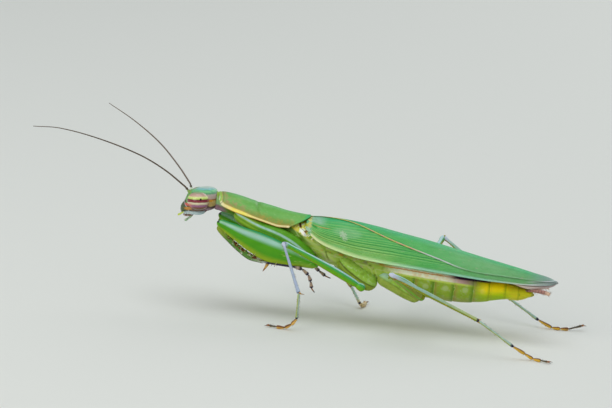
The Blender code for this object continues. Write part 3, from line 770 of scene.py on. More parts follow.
KNOBS = (  # the small horny knobs that the wing turns on: place, reach and height
    ((-6.05, 0.98, 6.12), 0.14, 0.07), ((-5.78, 1.02, 5.90), 0.12, 0.08),
    ((-5.50, 1.04, 5.66), 0.14, 0.09), ((-5.30, 1.08, 5.98), 0.12, 0.07),
    ((-5.10, 1.08, 5.62), 0.11, 0.06), ((-5.62, 1.00, 6.22), 0.11, 0.06),
)
for place, reach, height in KNOBS:
    both(swell, trunk, place, (reach,) * 3, height)
spots = read(trunk)[0]
number(trunk, "ring", ring_share(spots[:, 0]))
number(trunk, "seam", np.min([distance(spots, np.array(seam) * (1, sign, 1))
                              for seam in PLATE_SEAMS for sign in (1, -1)], axis=0))
print("trunk:", len(trunk.data.vertices), "points,", len(RING_EDGES) - 1, "abdomen rings")

# %% [markdown]
# The trunk's colours change along it: a dark maroon throat, an olive breast, yellow patches and a painted
# white highlight where the wing is hinged, olive flanks, and a yellow-green abdomen with brownish seams, a
# pinkish cream band under the wing's edge and a bright yellow tail end.

# %% Finish of the trunk
def mosaic(skin, size, colours):
    """Patches of horn of about one size, each in one of a row of colours."""
    cells = skin.add("ShaderNodeTexVoronoi", None, {"Vector": skin.spot(), "Scale": 1 / size}, out="Color")
    pick = skin.add("ShaderNodeSeparateColor", None, {0: cells})
    return skin.bands(pick, 0.0, 1.0, colours)


HINGE_COLOURS = (
    (0.10, (236, 240, 200)), (0.30, (226, 226, 110)), (0.50, (206, 206, 60)),
    (0.68, (166, 190, 60)), (0.84, (120, 164, 40)), (0.98, (140, 110, 40)),
)
NECK_COLOURS = (  # level, colour
    (6.30, (60, 16, 28)), (6.52, (96, 46, 50)), (6.62, (158, 116, 140)), (6.84, (140, 108, 110)),
    (6.94, (150, 190, 136)), (7.30, (164, 206, 130)), (7.50, (158, 190, 60)),
)


def trunk_finish():
    skin = Finish("trunk skin", roughness=0.46, specular_ior_level=0.25, subsurface_weight=0.12,
                  subsurface_scale=0.0004)
    x, y, z = skin.place("x"), skin.place("y"), skin.place("z")
    side, ring, seam = y.size(), skin.lane("ring"), skin.lane("seam")
    mottle, blotch, fine = skin.speckle(0.5, 3.0), skin.speckle(0.25, 3.0), skin.speckle(0.12, 3.0)
    neck = skin.bands(z + 0.25 * (x + 11.2) + 0.1 * (blotch - 0.5), 6.2, 7.8, NECK_COLOURS)
    skin.colour = skin.blend(x.rise(-11.0, -10.5), neck, (84, 134, 22))
    skin.paint(x.rise(-7.2, -6.3), skin.blend(mottle, (76, 130, 14), (116, 160, 40)))
    flank = skin.blend(blotch, (132, 170, 22), (178, 204, 92))
    flank = skin.blend(skin.speckle(0.45, 2.0, (1.0, 0.6, 1.4)).rise(0.52, 0.70) * 0.6, flank,
                       (180, 160, 134))
    skin.paint((x + 0.5 * z).rise(-2.9, -2.2), flank)
    patch = (z + 0.62 * x).near(2.10, 0.25) * x.inside(-5.6, -3.2, 0.4)
    skin.paint(patch * 0.6, (196, 214, 116))
    skin.paint(seam.rise(0.08, 0.02) * 0.75, (84, 100, 24))
    skin.paint(seam.near(0.15, 0.06) * 0.4, (190, 208, 140))
    under = z + 0.11 * x
    rust = under.near(4.28, 0.13) * blotch.rise(0.42, 0.60) * x.inside(-4.2, 0.9, 0.3)
    skin.paint(rust * 0.85, (190, 128, 30))
    hinge = x.inside(-6.75, -4.85, 0.10) * (z + 0.5 * x).rise(2.72, 2.86)
    skin.paint(hinge, mosaic(skin, 0.20, HINGE_COLOURS))
    skin.paint(hinge * x.rise(-5.80, -6.05) * 0.8, skin.blend(fine, (226, 196, 20), (246, 232, 70)))
    streak = (x + 0.35 * (z - 6.2) + 5.80).size().rise(0.10, 0.05) * z.rise(5.98, 6.06)
    skin.paint(streak, (96, 48, 14))
    # painted highlight: a near-white spot on the plate behind the pronotum
    white = oval((x, -5.55, 0.26), (z + 0.75 * (x + 5.55), 5.74, 0.13), fine, 0.8)
    skin.paint(white.rise(1.2, 0.7), (250, 250, 240))
    belly = skin.blend(mottle, (122, 162, 16), (166, 188, 62))
    belly = skin.blend(blotch.rise(0.50, 0.75) * 0.5, belly, (166, 192, 140))
    belly = skin.blend(fine.rise(0.50, 0.75) * 0.35, belly, (172, 148, 96))
    belly = skin.blend(z.rise(2.75, 2.30) * 0.5, belly, (150, 150, 84))
    spot = oval((ring, 0.56, 0.17), (z, 3.20, 0.20), blotch, 1.6)
    belly = skin.blend(spot.rise(1.4, 0.1) * 0.4, belly, (196, 212, 160))
    yellow = skin.blend((z - 0.12 * x).rise(2.0, 2.6), (160, 194, 0), (255, 232, 0))
    belly = skin.blend(x.rise(5.7, 6.9), belly, skin.blend(x.rise(7.6, 8.6), yellow, (206, 202, 24)))
    fold = skin.blend(x.rise(5.5, 7.0), (80, 128, 12), (150, 168, 4))
    belly = skin.blend(ring.rise(0.74, 0.96) * 0.75, belly, fold)
    belly = skin.blend(ring.rise(0.26, 0.02) * x.rise(8.0, 5.0) * 0.55, belly, (160, 128, 70))
    skin.paint(x.rise(0.2, 1.2), belly)
    hem = z + 0.056 * x + 0.05 * (fine - 0.5)
    outer = side.rise(0.7, 0.9)
    band = hem.inside(3.86, 4.32, 0.05) * x.inside(0.4, 5.6, 0.7) * outer
    cream = skin.blend(blotch.rise(0.35, 0.65), (255, 236, 190), (255, 255, 222))
    cream = skin.blend(x.rise(3.6, 5.6), cream, (190, 140, 150))
    skin.paint(band, cream)
    skin.paint(hem.near(3.82, 0.11) * x.inside(0.2, 5.6, 0.5) * outer * 0.85, (206, 226, 96))
    skin.paint(hem.near(4.19, 0.06) * x.inside(-0.2, 4.2, 0.6) * outer, (226, 144, 62))
    # painted shadow of the wing's hem: a dark mauve band on the flank just under it, towards the rear
    skin.paint(hem.inside(4.12, 4.5, 0.05) * x.inside(4.4, 7.4, 0.4) * outer, (60, 34, 58))
    return skin.wear(skin.colour, roughness=0.36 + 0.2 * fine, height=fine + 3.0 * mottle, depth=0.012)


coat(trunk, trunk_finish())
print("trunk finish ready")

# %% [markdown]
# ## The pronotum
# The pronotum is the hard saddle over the mantis's breast. It is one plate, widest over the foreleg
# sockets, with a groove across it there, a fine keel behind the groove, a rear edge cut obliquely and a
# raised rim painted cream and yellow. A grid is bent to the plate's outer face, given a wall by Solidify,
# and the rim and keel are raised afterwards.

# %% Pronotum plate
PRONOTUM = (  # x, half width, top, waist
    (-11.28, 0.78, 7.58, 7.30), (-11.00, 0.98, 7.67, 7.02), (-10.30, 1.10, 7.61, 6.75),
    (-9.50, 1.20, 7.43, 6.56), (-8.80, 1.22, 7.28, 6.41), (-7.80, 1.16, 7.10, 6.20),
    (-6.60, 1.12, 6.87, 6.03), (-5.15, 1.02, 6.72, 6.02),
)
REAR_LEAN, LEAN_START = 1.90, -9.0  # how far the rear edge's top overhangs, and where that begins
PLATE_WALL, PLATE_WRAP = 0.09, 1.04  # thickness, and how many half turns the plate goes round the breast
FRONT_LIP = 0.06  # share of the plate's length over which its front curves in
CROSS_GROOVE = ((-8.35, -1.2, 6.5), (-8.62, -0.7, 7.12), (-8.70, 0.0, 7.27), (-8.62, 0.7, 7.12),
                (-8.35, 1.2, 6.5))


def pronotum_face(u, v):
    first, last = PRONOTUM[0][0], PRONOTUM[-1][0]
    x = first + (last - first) * u
    wide, top, waist = smooth_rows(PRONOTUM, x)
    around = math.pi * (v - 0.5) * PLATE_WRAP
    z = waist + (top - waist) * np.cos(around)
    share = np.clip((x - LEAN_START) / (last - LEAN_START), 0.0, 1.0)
    front = np.clip(1 - u / FRONT_LIP, 0.0, 1.0) ** 2
    x = x - REAR_LEAN * share * share * (top - z) + 0.10 * front * np.abs(np.sin(around))
    z = z - 0.06 * front * (top - waist)
    return np.stack([x, wide * np.sin(around), z], axis=1), u


def pronotum_plate():
    plate = wrap("pronotum_plate", 150, 96, pronotum_face, closed=False)
    points = read(plate)[0]
    face_up(plate)
    along, across = np.linspace(0.0, 1.0, 40), np.linspace(0.0, 1.0, 24)
    edges = ((along, np.zeros(40)), (along, np.ones(40)), (np.zeros(24), across), (np.ones(24), across))
    left, right, front, behind = (distance(points, pronotum_face(u, v)[0]) for u, v in edges)
    rim = np.minimum(np.minimum(left, right), front)
    number(plate, "rim", rim)
    number(plate, "front", front)
    push(plate, 0.060 * bell(rim, 0.05, 0.06) + 0.030 * bell(behind, 0.04, 0.05))
    crease(plate, CROSS_GROOVE, 0.12, 0.032)
    crease(plate, ((-8.5, 0.0, 7.22), (-7.0, 0.0, 6.95), (-5.3, 0.0, 6.74)), 0.035, -0.035)
    crease(plate, ((-11.1, 0.0, 7.67), (-9.9, 0.0, 7.52), (-8.9, 0.0, 7.30)), 0.035, 0.025)
    both(swell, plate, (-7.7, 0.55, 6.9), (0.8, 0.35, 0.5), -0.03)
    both(swell, plate, (-9.7, 0.6, 7.2), (0.5, 0.35, 0.5), 0.03)
    solidify(plate, PLATE_WALL)
    return plate


MARGIN_COLOURS = (  # along the plate's painted margin, from the front
    (-11.3, (232, 228, 190)), (-10.7, (240, 222, 130)), (-10.2, (252, 226, 30)),
    (-9.5, (252, 234, 40)), (-8.9, (240, 222, 120)), (-6.6, (236, 218, 150)),
)


def pronotum_finish():
    shell = Finish("pronotum shell", roughness=0.38, specular_ior_level=0.35, coat_weight=0.08,
                   coat_roughness=0.25)
    x, y, z = shell.place("x"), shell.place("y"), shell.place("z")
    rim, front = shell.lane("rim"), shell.lane("front")
    mottle, blotch, pits = shell.speckle(0.45, 3.0), shell.speckle(0.22, 3.0), shell.speckle(0.05, 2.0)
    green = shell.blend(mottle, (82, 164, 54), (126, 188, 88))
    shell.colour = shell.blend(y.size().rise(0.55, 0.0) * 0.5, green, (96, 186, 110))
    shell.paint(blotch.rise(0.50, 0.75) * 0.4, (146, 196, 112))
    shell.paint(rim.rise(0.70, 0.16) * (0.30 + 0.6 * blotch), (166, 152, 88))
    rosy = rim.rise(1.1, 0.3) * x.rise(-8.9, -9.9) * blotch.rise(0.38, 0.62)
    shell.paint(rosy * 0.65, (178, 134, 96))
    rosy = rim.rise(0.70, 0.25) * x.rise(-9.2, -8.2) * blotch.rise(0.40, 0.62)
    shell.paint(rosy * 0.5, (190, 156, 62))
    # painted shade: darker green mottling in the cross groove
    groove = oval((x, -8.6, 0.35), (rim, 1.1, 0.8))
    shell.paint(groove.rise(1.0, 0.0) * blotch * 0.6, (86, 138, 44))
    margin = shell.blend(blotch * 0.4, shell.bands(x, -11.4, -6.4, MARGIN_COLOURS), (250, 246, 214))
    broad = rim - 0.09 * x.inside(-10.9, -9.2, 0.6)
    shell.paint(broad.rise(0.24, 0.15) * 0.5, (200, 158, 74))
    shell.paint(broad.rise(0.165, 0.12), margin)
    shell.paint(rim.rise(0.050, 0.025) * x.rise(-11.0, -10.5), (204, 136, 50))
    collar = shell.blend(blotch.rise(0.35, 0.60), (126, 176, 70), (238, 232, 190))
    collar = shell.blend(z.rise(7.30, 7.00), shell.blend(blotch, (112, 172, 40), (178, 206, 96)), collar)
    shell.paint(front.near(0.28, 0.07) * 0.5, (70, 116, 40))
    shell.paint(front.rise(0.23, 0.16), collar)
    shell.paint(front.rise(0.08, 0.04) * z.rise(7.6, 7.4), (242, 240, 224))
    shell.paint((x + 0.9 * (6.7 - z)).rise(-5.62, -5.30), (62, 180, 96))
    return shell.wear(shell.colour, roughness=0.30 + 0.2 * mottle, height=pits + 2.5 * mottle, depth=0.008)


settle(coat(pronotum_plate(), pronotum_finish()), "green_shell", "pronotum")

# %% [markdown]
# ## The forewings
# At rest the two leathery forewings make a roof over the back, the right one over the left. Its free edge
# starts on the ridge and runs down the left side, so much of the left wing is covered. Both wings are cut
# from the same roof here, the left one a layer lower, and really do overlap. Each point keeps how far it is
# from the hem, measured over the curve, because the veins run beside the hem: they are raised where that
# number passes a vein, and painted by the same number.

# %% Wing shapes
WING_ROOF = (  # x, half width, ridge height, hem height
    (-5.40, 1.10, 6.67, 5.92), (-4.40, 1.45, 6.74, 5.27), (-3.00, 1.70, 6.72, 4.85),
    (-1.60, 1.84, 6.59, 4.59), (0.70, 1.90, 6.22, 4.41), (2.40, 1.88, 5.94, 4.30),
    (4.50, 1.72, 5.53, 4.14), (6.40, 1.48, 5.15, 3.98), (8.80, 1.00, 4.70, 3.86),
    (9.80, 0.76, 4.49, 3.84), (10.70, 0.50, 4.31, 3.88), (11.32, 0.14, 4.08, 3.98),
)
WING_OVERLAP = (  # x, how far down the left side the right wing's edge lies, in degrees from the ridge
    (-5.40, 0.0), (-3.90, 0.0), (-0.25, 34.0), (3.45, 56.0), (5.20, 67.0), (7.45, 65.0), (9.45, 61.0),
    (11.32, 60.0),
)
ROOF_POWER = 1.8  # how boxy the roof's section is: 2 would be an ellipse
LAYER, WING_WALL = 0.048, 0.032  # how far the lower wing lies under the upper one, and a wing's thickness
TUCK = 16.0  # degrees that the lower wing reaches in under the upper one
WING_RINGS, WING_STEPS = 230, 60  # rows of mesh along a wing, and steps that measure each row
VEIN_FAN = ((-5.4, 0.42), (-3.6, 0.72), (-1.0, 0.96), (2.0, 1.0), (6.5, 0.92), (9.0, 0.62), (11.32, 0.20))
VEINS = (  # lane, height and half width of each vein, then the lane and strength of the dark valley past it
    (0.03, 0.045, 0.05, 0.50, 0.0), (0.60, 0.016, 0.030, 0.67, 0.75), (0.76, 0.024, 0.030, 0.86, 0.95),
    (0.95, 0.020, 0.025, 0.99, 0.4), (1.03, 0.020, 0.025, 1.12, 0.95), (1.21, 0.020, 0.025, 1.29, 0.55),
    (1.38, 0.016, 0.025, 1.45, 0.4), (1.56, 0.014, 0.030, 1.66, 0.4), (1.80, 0.014, 0.030, 1.90, 0.35),
    (2.05, 0.012, 0.030, 2.15, 0.35), (2.35, 0.012, 0.030, 2.47, 0.3), (2.70, 0.010, 0.030, 2.85, 0.3),
)


def roof(x, turn, inset):
    """Points of the wing roof; the turn runs from 0 on the ridge to a quarter at the right hem."""
    wide, ridge, hem = smooth_rows(WING_ROOF, x)
    power = 2 / ROOF_POWER
    across = np.sign(turn) * np.abs(np.sin(turn)) ** power
    rise = np.abs(np.cos(turn)) ** power
    return np.stack([x, np.maximum(wide - inset, 0.03) * across,
                     hem + np.maximum(ridge - hem - inset, 0.03) * rise], axis=-1)


def forewing(name, side, columns, inset):
    """A forewing from its free edge (v 0) to its hem (v 1); side is 1 for the right one, -1 for the left."""
    first, last = WING_ROOF[0][0], WING_ROOF[-1][0]
    kept = {}

    def shape(u, v):
        x = first + (last - first) * u
        edge = -np.radians(smooth_rows(WING_OVERLAP, x)[0] - (TUCK if side < 0 else 0.0))
        hem = side * math.pi / 2
        turns = edge[:, None] + (hem - edge)[:, None] * np.linspace(0.0, 1.0, WING_STEPS)
        places = np.repeat(x[:, None], WING_STEPS, axis=1)
        line = roof(places.ravel(), turns.ravel(), inset).reshape(len(x), WING_STEPS, 3)
        run = np.cumsum(np.linalg.norm(np.diff(line, axis=1), axis=2), axis=1)
        run = np.concatenate([np.zeros((len(x), 1)), run], axis=1)
        index = v * (WING_STEPS - 1)
        low = np.minimum(index.astype(int), WING_STEPS - 2)
        rows = np.arange(len(x))
        covered = run[rows, low] + (index - low) * (run[rows, low + 1] - run[rows, low])
        kept["hem"], kept["edge"] = run[:, -1] - covered, covered
        return roof(x, edge + (hem - edge) * v, inset), u

    piece = wrap(name, WING_RINGS, columns, shape, closed=False)
    points = read(piece)[0]
    face_up(piece)
    lane = kept["hem"] / smooth_rows(VEIN_FAN, points[:, 0])[0]
    number(piece, "lane", lane)
    number(piece, "edge", kept["edge"])
    fade = np.clip(kept["edge"] / 0.10, 0.3, 1.0) * np.clip(11.3 - points[:, 0], 0.1, 1.0)
    relief = sum(tall * bell(lane, place, wide) for place, tall, wide, *_ in VEINS)
    lip = 0.02 * bell(kept["edge"], 0.04, 0.04) * (side > 0)
    push(piece, relief * fade + lip)
    swell(piece, (-4.6, side * 1.1, 6.2), (0.5, 0.5, 0.5), 0.05)  # the hinge's swelling
    solidify(piece, WING_WALL)
    return piece


HEM_COLOURS = (  # along the wing's painted hem, from the base
    (-5.2, (240, 236, 170)), (-3.5, (206, 234, 150)), (-0.5, (184, 230, 152)), (0.8, (156, 218, 160)),
    (2.2, (116, 198, 160)), (6.5, (108, 190, 166)), (8.2, (160, 196, 180)), (9.4, (206, 208, 206)),
    (11.2, (212, 206, 216)),
)
BASE_COLOURS = (
    (0.05, (186, 214, 186)), (0.35, (104, 184, 120)), (0.55, (190, 196, 60)), (0.75, (214, 218, 140)),
    (0.95, (150, 124, 40)),
)


def wing_finish(side):
    skin = Finish(side + " forewing green", roughness=0.38, specular_ior_level=0.4, subsurface_weight=0.06,
                  subsurface_scale=0.0002)
    x, y, z = skin.place("x"), skin.place("y"), skin.place("z")
    lane, edge = skin.lane("lane"), skin.lane("edge")
    mottle, fine = skin.speckle(0.6, 3.0), skin.speckle(0.10, 2.0, (0.3, 1.0, 1.0))
    streak = skin.speckle(0.30, 3.0, (0.12, 1.0, 1.0))
    green = skin.blend(mottle, (62, 174, 78), (96, 190, 96))
    skin.colour = skin.blend(y.size().rise(0.9, 0.2), green, (56, 184, 112))
    pale = skin.blend(mottle, (116, 190, 84), (150, 206, 116))
    skin.paint(lane.rise(1.0, 0.55) * x.rise(3.5, -1.0), pale)
    skin.paint(streak.rise(0.50, 0.75) * 0.45, (128, 204, 132))
    skin.paint(streak.rise(0.50, 0.25) * 0.45, (44, 150, 66))
    greyed = y.size().rise(0.15, 0.7) * x.rise(1.0, 7.5) * (0.45 + 0.5 * mottle)
    skin.paint(greyed, (124, 180, 122))
    flecks = skin.speckle(0.20, 2.0, (0.5, 1.0, 1.0)).rise(0.64, 0.74) * x.rise(-2.0, 2.0)
    skin.paint(flecks * 0.35, (186, 170, 150))
    cells = skin.add("ShaderNodeCombineXYZ", None, {0: x * 2.2, 1: lane * 9.0})
    net = skin.add("ShaderNodeTexVoronoi", {"feature": "DISTANCE_TO_EDGE"}, {"Vector": cells, "Scale": 1.0})
    net = net.rise(0.07, 0.02)
    skin.paint(net * 0.16, (40, 140, 60))
    light, dark = 0.0, 0.0
    for place, tall, wide, valley, deep in VEINS[1:]:
        light = lane.near(place, wide * 1.4) * (26.0 * tall) + light
        dark = lane.near(valley, wide * 1.6) * deep + dark
    sharp = x.rise(10.0, 3.0) * 0.5 + 0.5
    skin.paint(dark.least(0.9) * sharp, skin.blend(x.rise(-2.0, 1.5), (70, 120, 24), (30, 132, 48)))
    skin.paint(light.least(0.8) * sharp, skin.blend(x.rise(-2.0, 1.5), (190, 222, 110), (136, 208, 104)))
    hem = (lane * (1.25 + 0.10 * x)).rise(0.38, 0.12)
    if side == "right":
        # the free edge's own pale line, gold in front and whitish behind; behind about x 2 it is also painted
        # light that evens out the shadow at the step onto the lower wing
        line = edge.rise(0.12, 0.07) * (x.inside(-4.2, 4.6, 0.9) * 0.85 + 0.12)
        skin.paint(edge.near(0.16, 0.05) * x.inside(-3.6, 1.5, 0.8) * 0.55, (34, 110, 40))
        gold = skin.blend(skin.speckle(0.35).rise(0.4, 0.6), (204, 204, 104), (226, 168, 136))
        skin.paint(line, skin.blend(x.rise(1.2, 2.8), gold, (206, 214, 208)))
    else:
        hatch = (x * 21.0 + lane * 17.0 + 22.0 * fine + 6.0 * mottle).math("SINE").rise(0.2, 0.95)
        hatch = hatch * lane.inside(0.34, 0.62, 0.06) * x.rise(0.8, -1.5)
        skin.paint(hatch * 0.3, (96, 136, 36))
        haze = oval((x, -2.7, 1.1), (lane, 1.75, 0.55))
        skin.paint(haze.rise(1.1, 0.3) * 0.4, (142, 196, 142))
        run, across = 0.74 * (x + 2.93) - 0.67 * (z - 5.90), 0.67 * (x + 2.93) + 0.74 * (z - 5.90)
        scar = oval((run, 0.0, 0.34), (across, 0.0, 0.20), skin.speckle(0.09, 3.0), 4.0)
        skin.paint(scar.rise(1.3, 0.1) * 0.6, (196, 206, 184))
    skin.paint(hem, skin.blend(fine * 0.4, skin.bands(x, -5.4, 11.4, HEM_COLOURS), (226, 238, 196)))
    tip = x.rise(8.9, 10.9)
    skin.paint(tip * 0.75, (146, 158, 162))
    rim = z - 0.07 * (x - 10.0)
    pleats = (rim.near(3.95, 0.05) + rim.near(4.10, 0.04)) * x.rise(9.0, 9.8)
    skin.paint(pleats.least(1.0) * 0.8, (216, 214, 220))
    skin.paint(rim.near(4.03, 0.04) * x.rise(9.4, 10.0) * 0.7, (96, 84, 100))
    base = x.rise(-3.9, -4.7) * lane.rise(1.9, 2.3)
    skin.paint(base * (0.3 + 0.6 * fine), (176, 206, 190))
    rust = (lane - 0.17 * x).near(2.50, 0.09) * x.inside(-5.0, -3.9, 0.2)
    skin.paint(rust * 0.8, (196, 134, 62))
    skin.paint(x.inside(-5.3, -4.7, 0.1) * lane.inside(1.36, 1.62, 0.06), (8, 150, 34))
    skin.paint(lane.near(0.66, 0.07) * x.rise(-4.1, -4.5) * 0.8, (104, 84, 22))
    skin.paint(x.rise(-4.95, -5.15), mosaic(skin, 0.22, BASE_COLOURS))
    return skin.wear(skin.colour, roughness=0.34 + 0.16 * fine, height=fine + 1.2 * net + 1.5 * mottle,
                     depth=0.006)


upper = forewing("forewing_upper", 1, columns=150, inset=0.0)
settle(coat(upper, wing_finish("right")), "wing", "forewing_right")
lower = forewing("forewing_lower", -1, columns=96, inset=LAYER)
settle(coat(lower, wing_finish("left")), "wing", "forewing_left")

# %% [markdown]
# Under the roof the hind wings lie folded like fans. All that shows is a thin pinkish edge below the hem of
# the forewings towards the rear, and a small tongue at the tip. Each is a slim leaf with a few pleats.

# %% Folded hind wings
HIND_FAN = (  # x, inner edge, outer edge, height, half thickness
    (3.80, 1.22, 1.34, 4.16, 0.03), (5.20, 1.16, 1.38, 4.06, 0.04), (6.40, 0.90, 1.22, 3.97, 0.05),
    (7.40, 0.45, 1.04, 3.93, 0.05), (8.30, 0.10, 0.88, 3.87, 0.06), (8.90, 0.02, 0.80, 3.76, 0.12),
    (9.50, 0.02, 0.76, 3.70, 0.15), (10.30, 0.02, 0.58, 3.72, 0.13), (11.00, 0.02, 0.24, 3.86, 0.07),
    (11.20, 0.02, 0.10, 3.94, 0.04),
)
PLEATS, FAN_RINGS = 5, 120


def hind_fan(name, sign):
    def shape(u, v):
        share, drawn = rounded(u, FAN_RINGS, 0.01, 0.02)
        x = HIND_FAN[0][0] + (HIND_FAN[-1][0] - HIND_FAN[0][0]) * share
        inner, outer, height, thick = smooth_rows(HIND_FAN, x)
        across = 0.5 + 0.5 * np.sin(math.tau * v)
        pleat = 1 + 0.35 * np.cos(across * math.tau * PLEATS)
        y = inner + (outer - inner) * across
        lift = np.cos(math.tau * v) * thick * pleat
        return np.stack([x, sign * y, height + lift * drawn], axis=1), share
    return wrap(name, FAN_RINGS, 64, shape)


def hind_fan_finish():
    film = Finish("hind wing film", roughness=0.32, subsurface_weight=0.1, subsurface_scale=0.0003)
    x = film.place("x")
    streaks = film.speckle(0.12, 2.0, (0.15, 1.0, 1.0))
    film.colour = film.blend(streaks, (206, 176, 170), (236, 226, 216))
    film.paint(x.rise(8.6, 6.0), (96, 60, 84))
    crease_line = (film.place("z") - 0.09 * (x - 10.0)).near(3.70, 0.03) * x.rise(8.8, 9.4)
    film.paint(crease_line * 0.6, (132, 100, 110))
    film.paint(x.rise(10.4, 11.1) * 0.5, (170, 156, 168))
    return film.wear(film.colour, height=streaks, depth=0.02)


film = hind_fan_finish()
for side, sign in SIDES:
    settle(coat(hind_fan("hind_fan_" + side, sign), film), "hindwing", "hindwing_" + side)

# %% [markdown]
# ## Cones in numbers
# Spines, claws, spurs and hairs are all curved cones that differ only in size and place. A few hundred
# would be slow to model one by one, so one function lays out all the cones of a set with arrays of roots,
# directions, lengths and thicknesses, and makes one mesh of them.

# %% Many cones in one mesh
CONE_STEPS, CONE_TAPER = (0.0, 0.3, 0.6, 0.85), 0.7


def cones(name, roots, ways, lengths, radii, curls=None, sides=6):
    """Curved cones. Each starts at its root, runs along its way and bends by its curl, a vector."""
    roots, ways = np.array(roots, float), unit(np.array(ways, float))
    count = len(roots)
    lengths, radii = np.broadcast_to(lengths, count)[:, None], np.broadcast_to(radii, count)[:, None]
    curls = np.zeros((count, 3)) if curls is None else np.broadcast_to(np.array(curls, float), (count, 3))
    across = unit(np.cross(ways, np.where(np.abs(ways[:, 2:3]) > 0.9, (1.0, 0.0, 0.0), (0.0, 0.0, 1.0))))
    other = np.cross(ways, across)
    points = []
    for step in CONE_STEPS:
        centre = roots + ways * lengths * step + curls * lengths * step ** 2
        thick = radii * (1 - step) ** CONE_TAPER
        for side in range(sides):
            turn = math.tau * side / sides
            points.append(centre + (across * math.cos(turn) + other * math.sin(turn)) * thick)
    points.append(roots + ways * lengths + curls * lengths)
    points = np.stack(points, axis=1)
    faces = [tuple(reversed(range(sides)))]
    for ring in range(len(CONE_STEPS) - 1):
        for side in range(sides):
            low, following = ring * sides + side, ring * sides + (side + 1) % sides
            faces.append((low, following, following + sides, low + sides))
    last, tip = (len(CONE_STEPS) - 1) * sides, len(CONE_STEPS) * sides
    faces += [(last + side, last + (side + 1) % sides, tip) for side in range(sides)]
    each = points.shape[1]
    mesh = bpy.data.meshes.new(name)
    mesh.from_pydata(metres(points.reshape(-1, 3)).tolist(), [],
                     [tuple(corner + each * n for corner in face) for n in range(count) for face in faces])
    share = np.concatenate([np.repeat(CONE_STEPS, sides), [1.0]])
    mesh.attributes.new("reach", "FLOAT", "POINT").data.foreach_set("value", np.tile(share, count))
    piece = bpy.data.objects.new(name, mesh)
    bpy.context.scene.collection.objects.link(piece)
    edit(piece, (bpy.ops.mesh.normals_make_consistent, {"inside": False}))
    return piece


def horn_finish(name, root, tip, gloss=0.3):
    horn = Finish(name, roughness=gloss)
    reach = horn.lane("reach")
    grain = horn.speckle(0.06)
    return horn.wear(horn.blend((reach + 0.3 * (grain - 0.5)).rise(0.35, 0.8), root, tip), height=grain,
                     depth=0.003)


spine_horn = horn_finish("spine horn", (168, 164, 96), (96, 52, 26))
claw_horn = horn_finish("claw horn", (150, 92, 36), (30, 18, 14), 0.22)
hair_brown = horn_finish("fine hair", (150, 120, 90), (90, 66, 50), 0.5)

# %% [markdown]
# ## The walking legs
# Each of the four walking legs is built in its real segments: a plump hip piece, a small ring, a spindle
# shaped thigh with a keel along its top, a slim shin with two spurs, and a foot of five segments, the first
# one long, the next three short with a pad each, the last one bearing two claws. The solids are half a
# millimetre thick so that they can be printed; here the legs get their true thinness along the same
# joints, and the feet come down to the same floor.

# %% Walking legs
LEGS = {  # leg: hip piece, hip joint, knee, ankle, joints of the foot
    "mid_leg_left": (
        ((-3.10, -0.86, 4.34), (-2.30, -1.08, 3.68), (-1.50, -1.10, 3.20), (-0.44, -1.06, 2.78)),
        (-1.38, -1.68, 2.68), (-6.74, -2.45, 5.22), (-5.40, -5.05, 2.62),
        ((-5.37, -4.66, 0.85), (-5.66, -4.42, 0.40), (-6.08, -4.35, 0.20), (-6.64, -4.30, 0.19),
         (-7.06, -4.16, 0.20))),
    "mid_leg_right": (
        ((-3.10, 0.86, 4.40), (-2.30, 1.10, 3.74), (-1.75, 1.12, 3.30), (-0.97, 1.06, 2.70)),
        (-1.50, 1.08, 2.66), (-4.80, 6.20, 4.00), (-1.98, 4.40, 1.28),
        ((-1.30, 3.72, 0.34), (-1.10, 4.15, 0.20), (-1.03, 4.45, 0.19), (-0.97, 4.75, 0.19),
         (-0.92, 5.20, 0.20))),
    "hind_leg_left": (
        ((-0.45, -1.10, 3.52), (0.62, -1.14, 3.07), (1.45, -1.13, 2.68), (2.52, -1.09, 2.28)),
        (2.52, -1.25, 2.40), (0.24, -6.50, 4.82), (6.24, -6.05, 2.34),
        ((8.64, -5.84, 0.85), (9.44, -5.55, 0.40), (9.98, -5.52, 0.20), (10.50, -5.72, 0.19),
         (10.90, -5.85, 0.20))),
    "hind_leg_right": (
        ((-0.20, 0.96, 3.45), (0.68, 1.10, 3.02), (1.34, 1.12, 2.66), (2.22, 1.09, 2.25)),
        (2.06, 1.28, 2.30), (3.77, 7.00, 4.74), (8.50, 4.50, 1.62),
        ((10.56, 3.92, 0.50), (11.48, 3.80, 0.22), (12.05, 3.76, 0.19), (12.60, 3.95, 0.20),
         (13.45, 4.25, 0.36))),
}
THIGH = {  # share along and half depth, for this and the next four
    "mid": ((0.0, 0.16), (0.10, 0.22), (0.35, 0.235), (0.70, 0.18), (0.90, 0.15), (0.96, 0.17),
            (1.0, 0.14)),
    "hind": ((0.0, 0.24), (0.10, 0.34), (0.32, 0.34), (0.68, 0.26), (0.90, 0.19), (0.96, 0.21),
             (1.0, 0.16)),
}
HIP = {
    "mid": ((0.0, 0.44), (0.25, 0.60), (0.60, 0.66), (0.88, 0.58), (1.0, 0.50)),
    "hind": ((0.0, 0.50), (0.30, 0.54), (0.60, 0.53), (0.90, 0.49), (1.0, 0.43)),
}
SHIN = {
    "mid": ((0.0, 0.10), (0.035, 0.145), (0.08, 0.110), (0.16, 0.085), (0.50, 0.095), (0.85, 0.110),
            (0.96, 0.130), (1.0, 0.10)),
    "hind": ((0.0, 0.10), (0.035, 0.145), (0.08, 0.115), (0.16, 0.115), (0.38, 0.150), (0.65, 0.130),
             (0.90, 0.108), (0.96, 0.118), (1.0, 0.09)),
}
FOOT_SHAFT = ((0.0, 0.080), (0.10, 0.088), (0.6, 0.080), (0.9, 0.105), (1.0, 0.08))
FOOT_TIP = ((0.0, 0.055), (0.5, 0.052), (0.9, 0.080), (1.0, 0.06))
SHIN_BOW = {"hind_leg_right": 0.08}  # how far the shin arches up
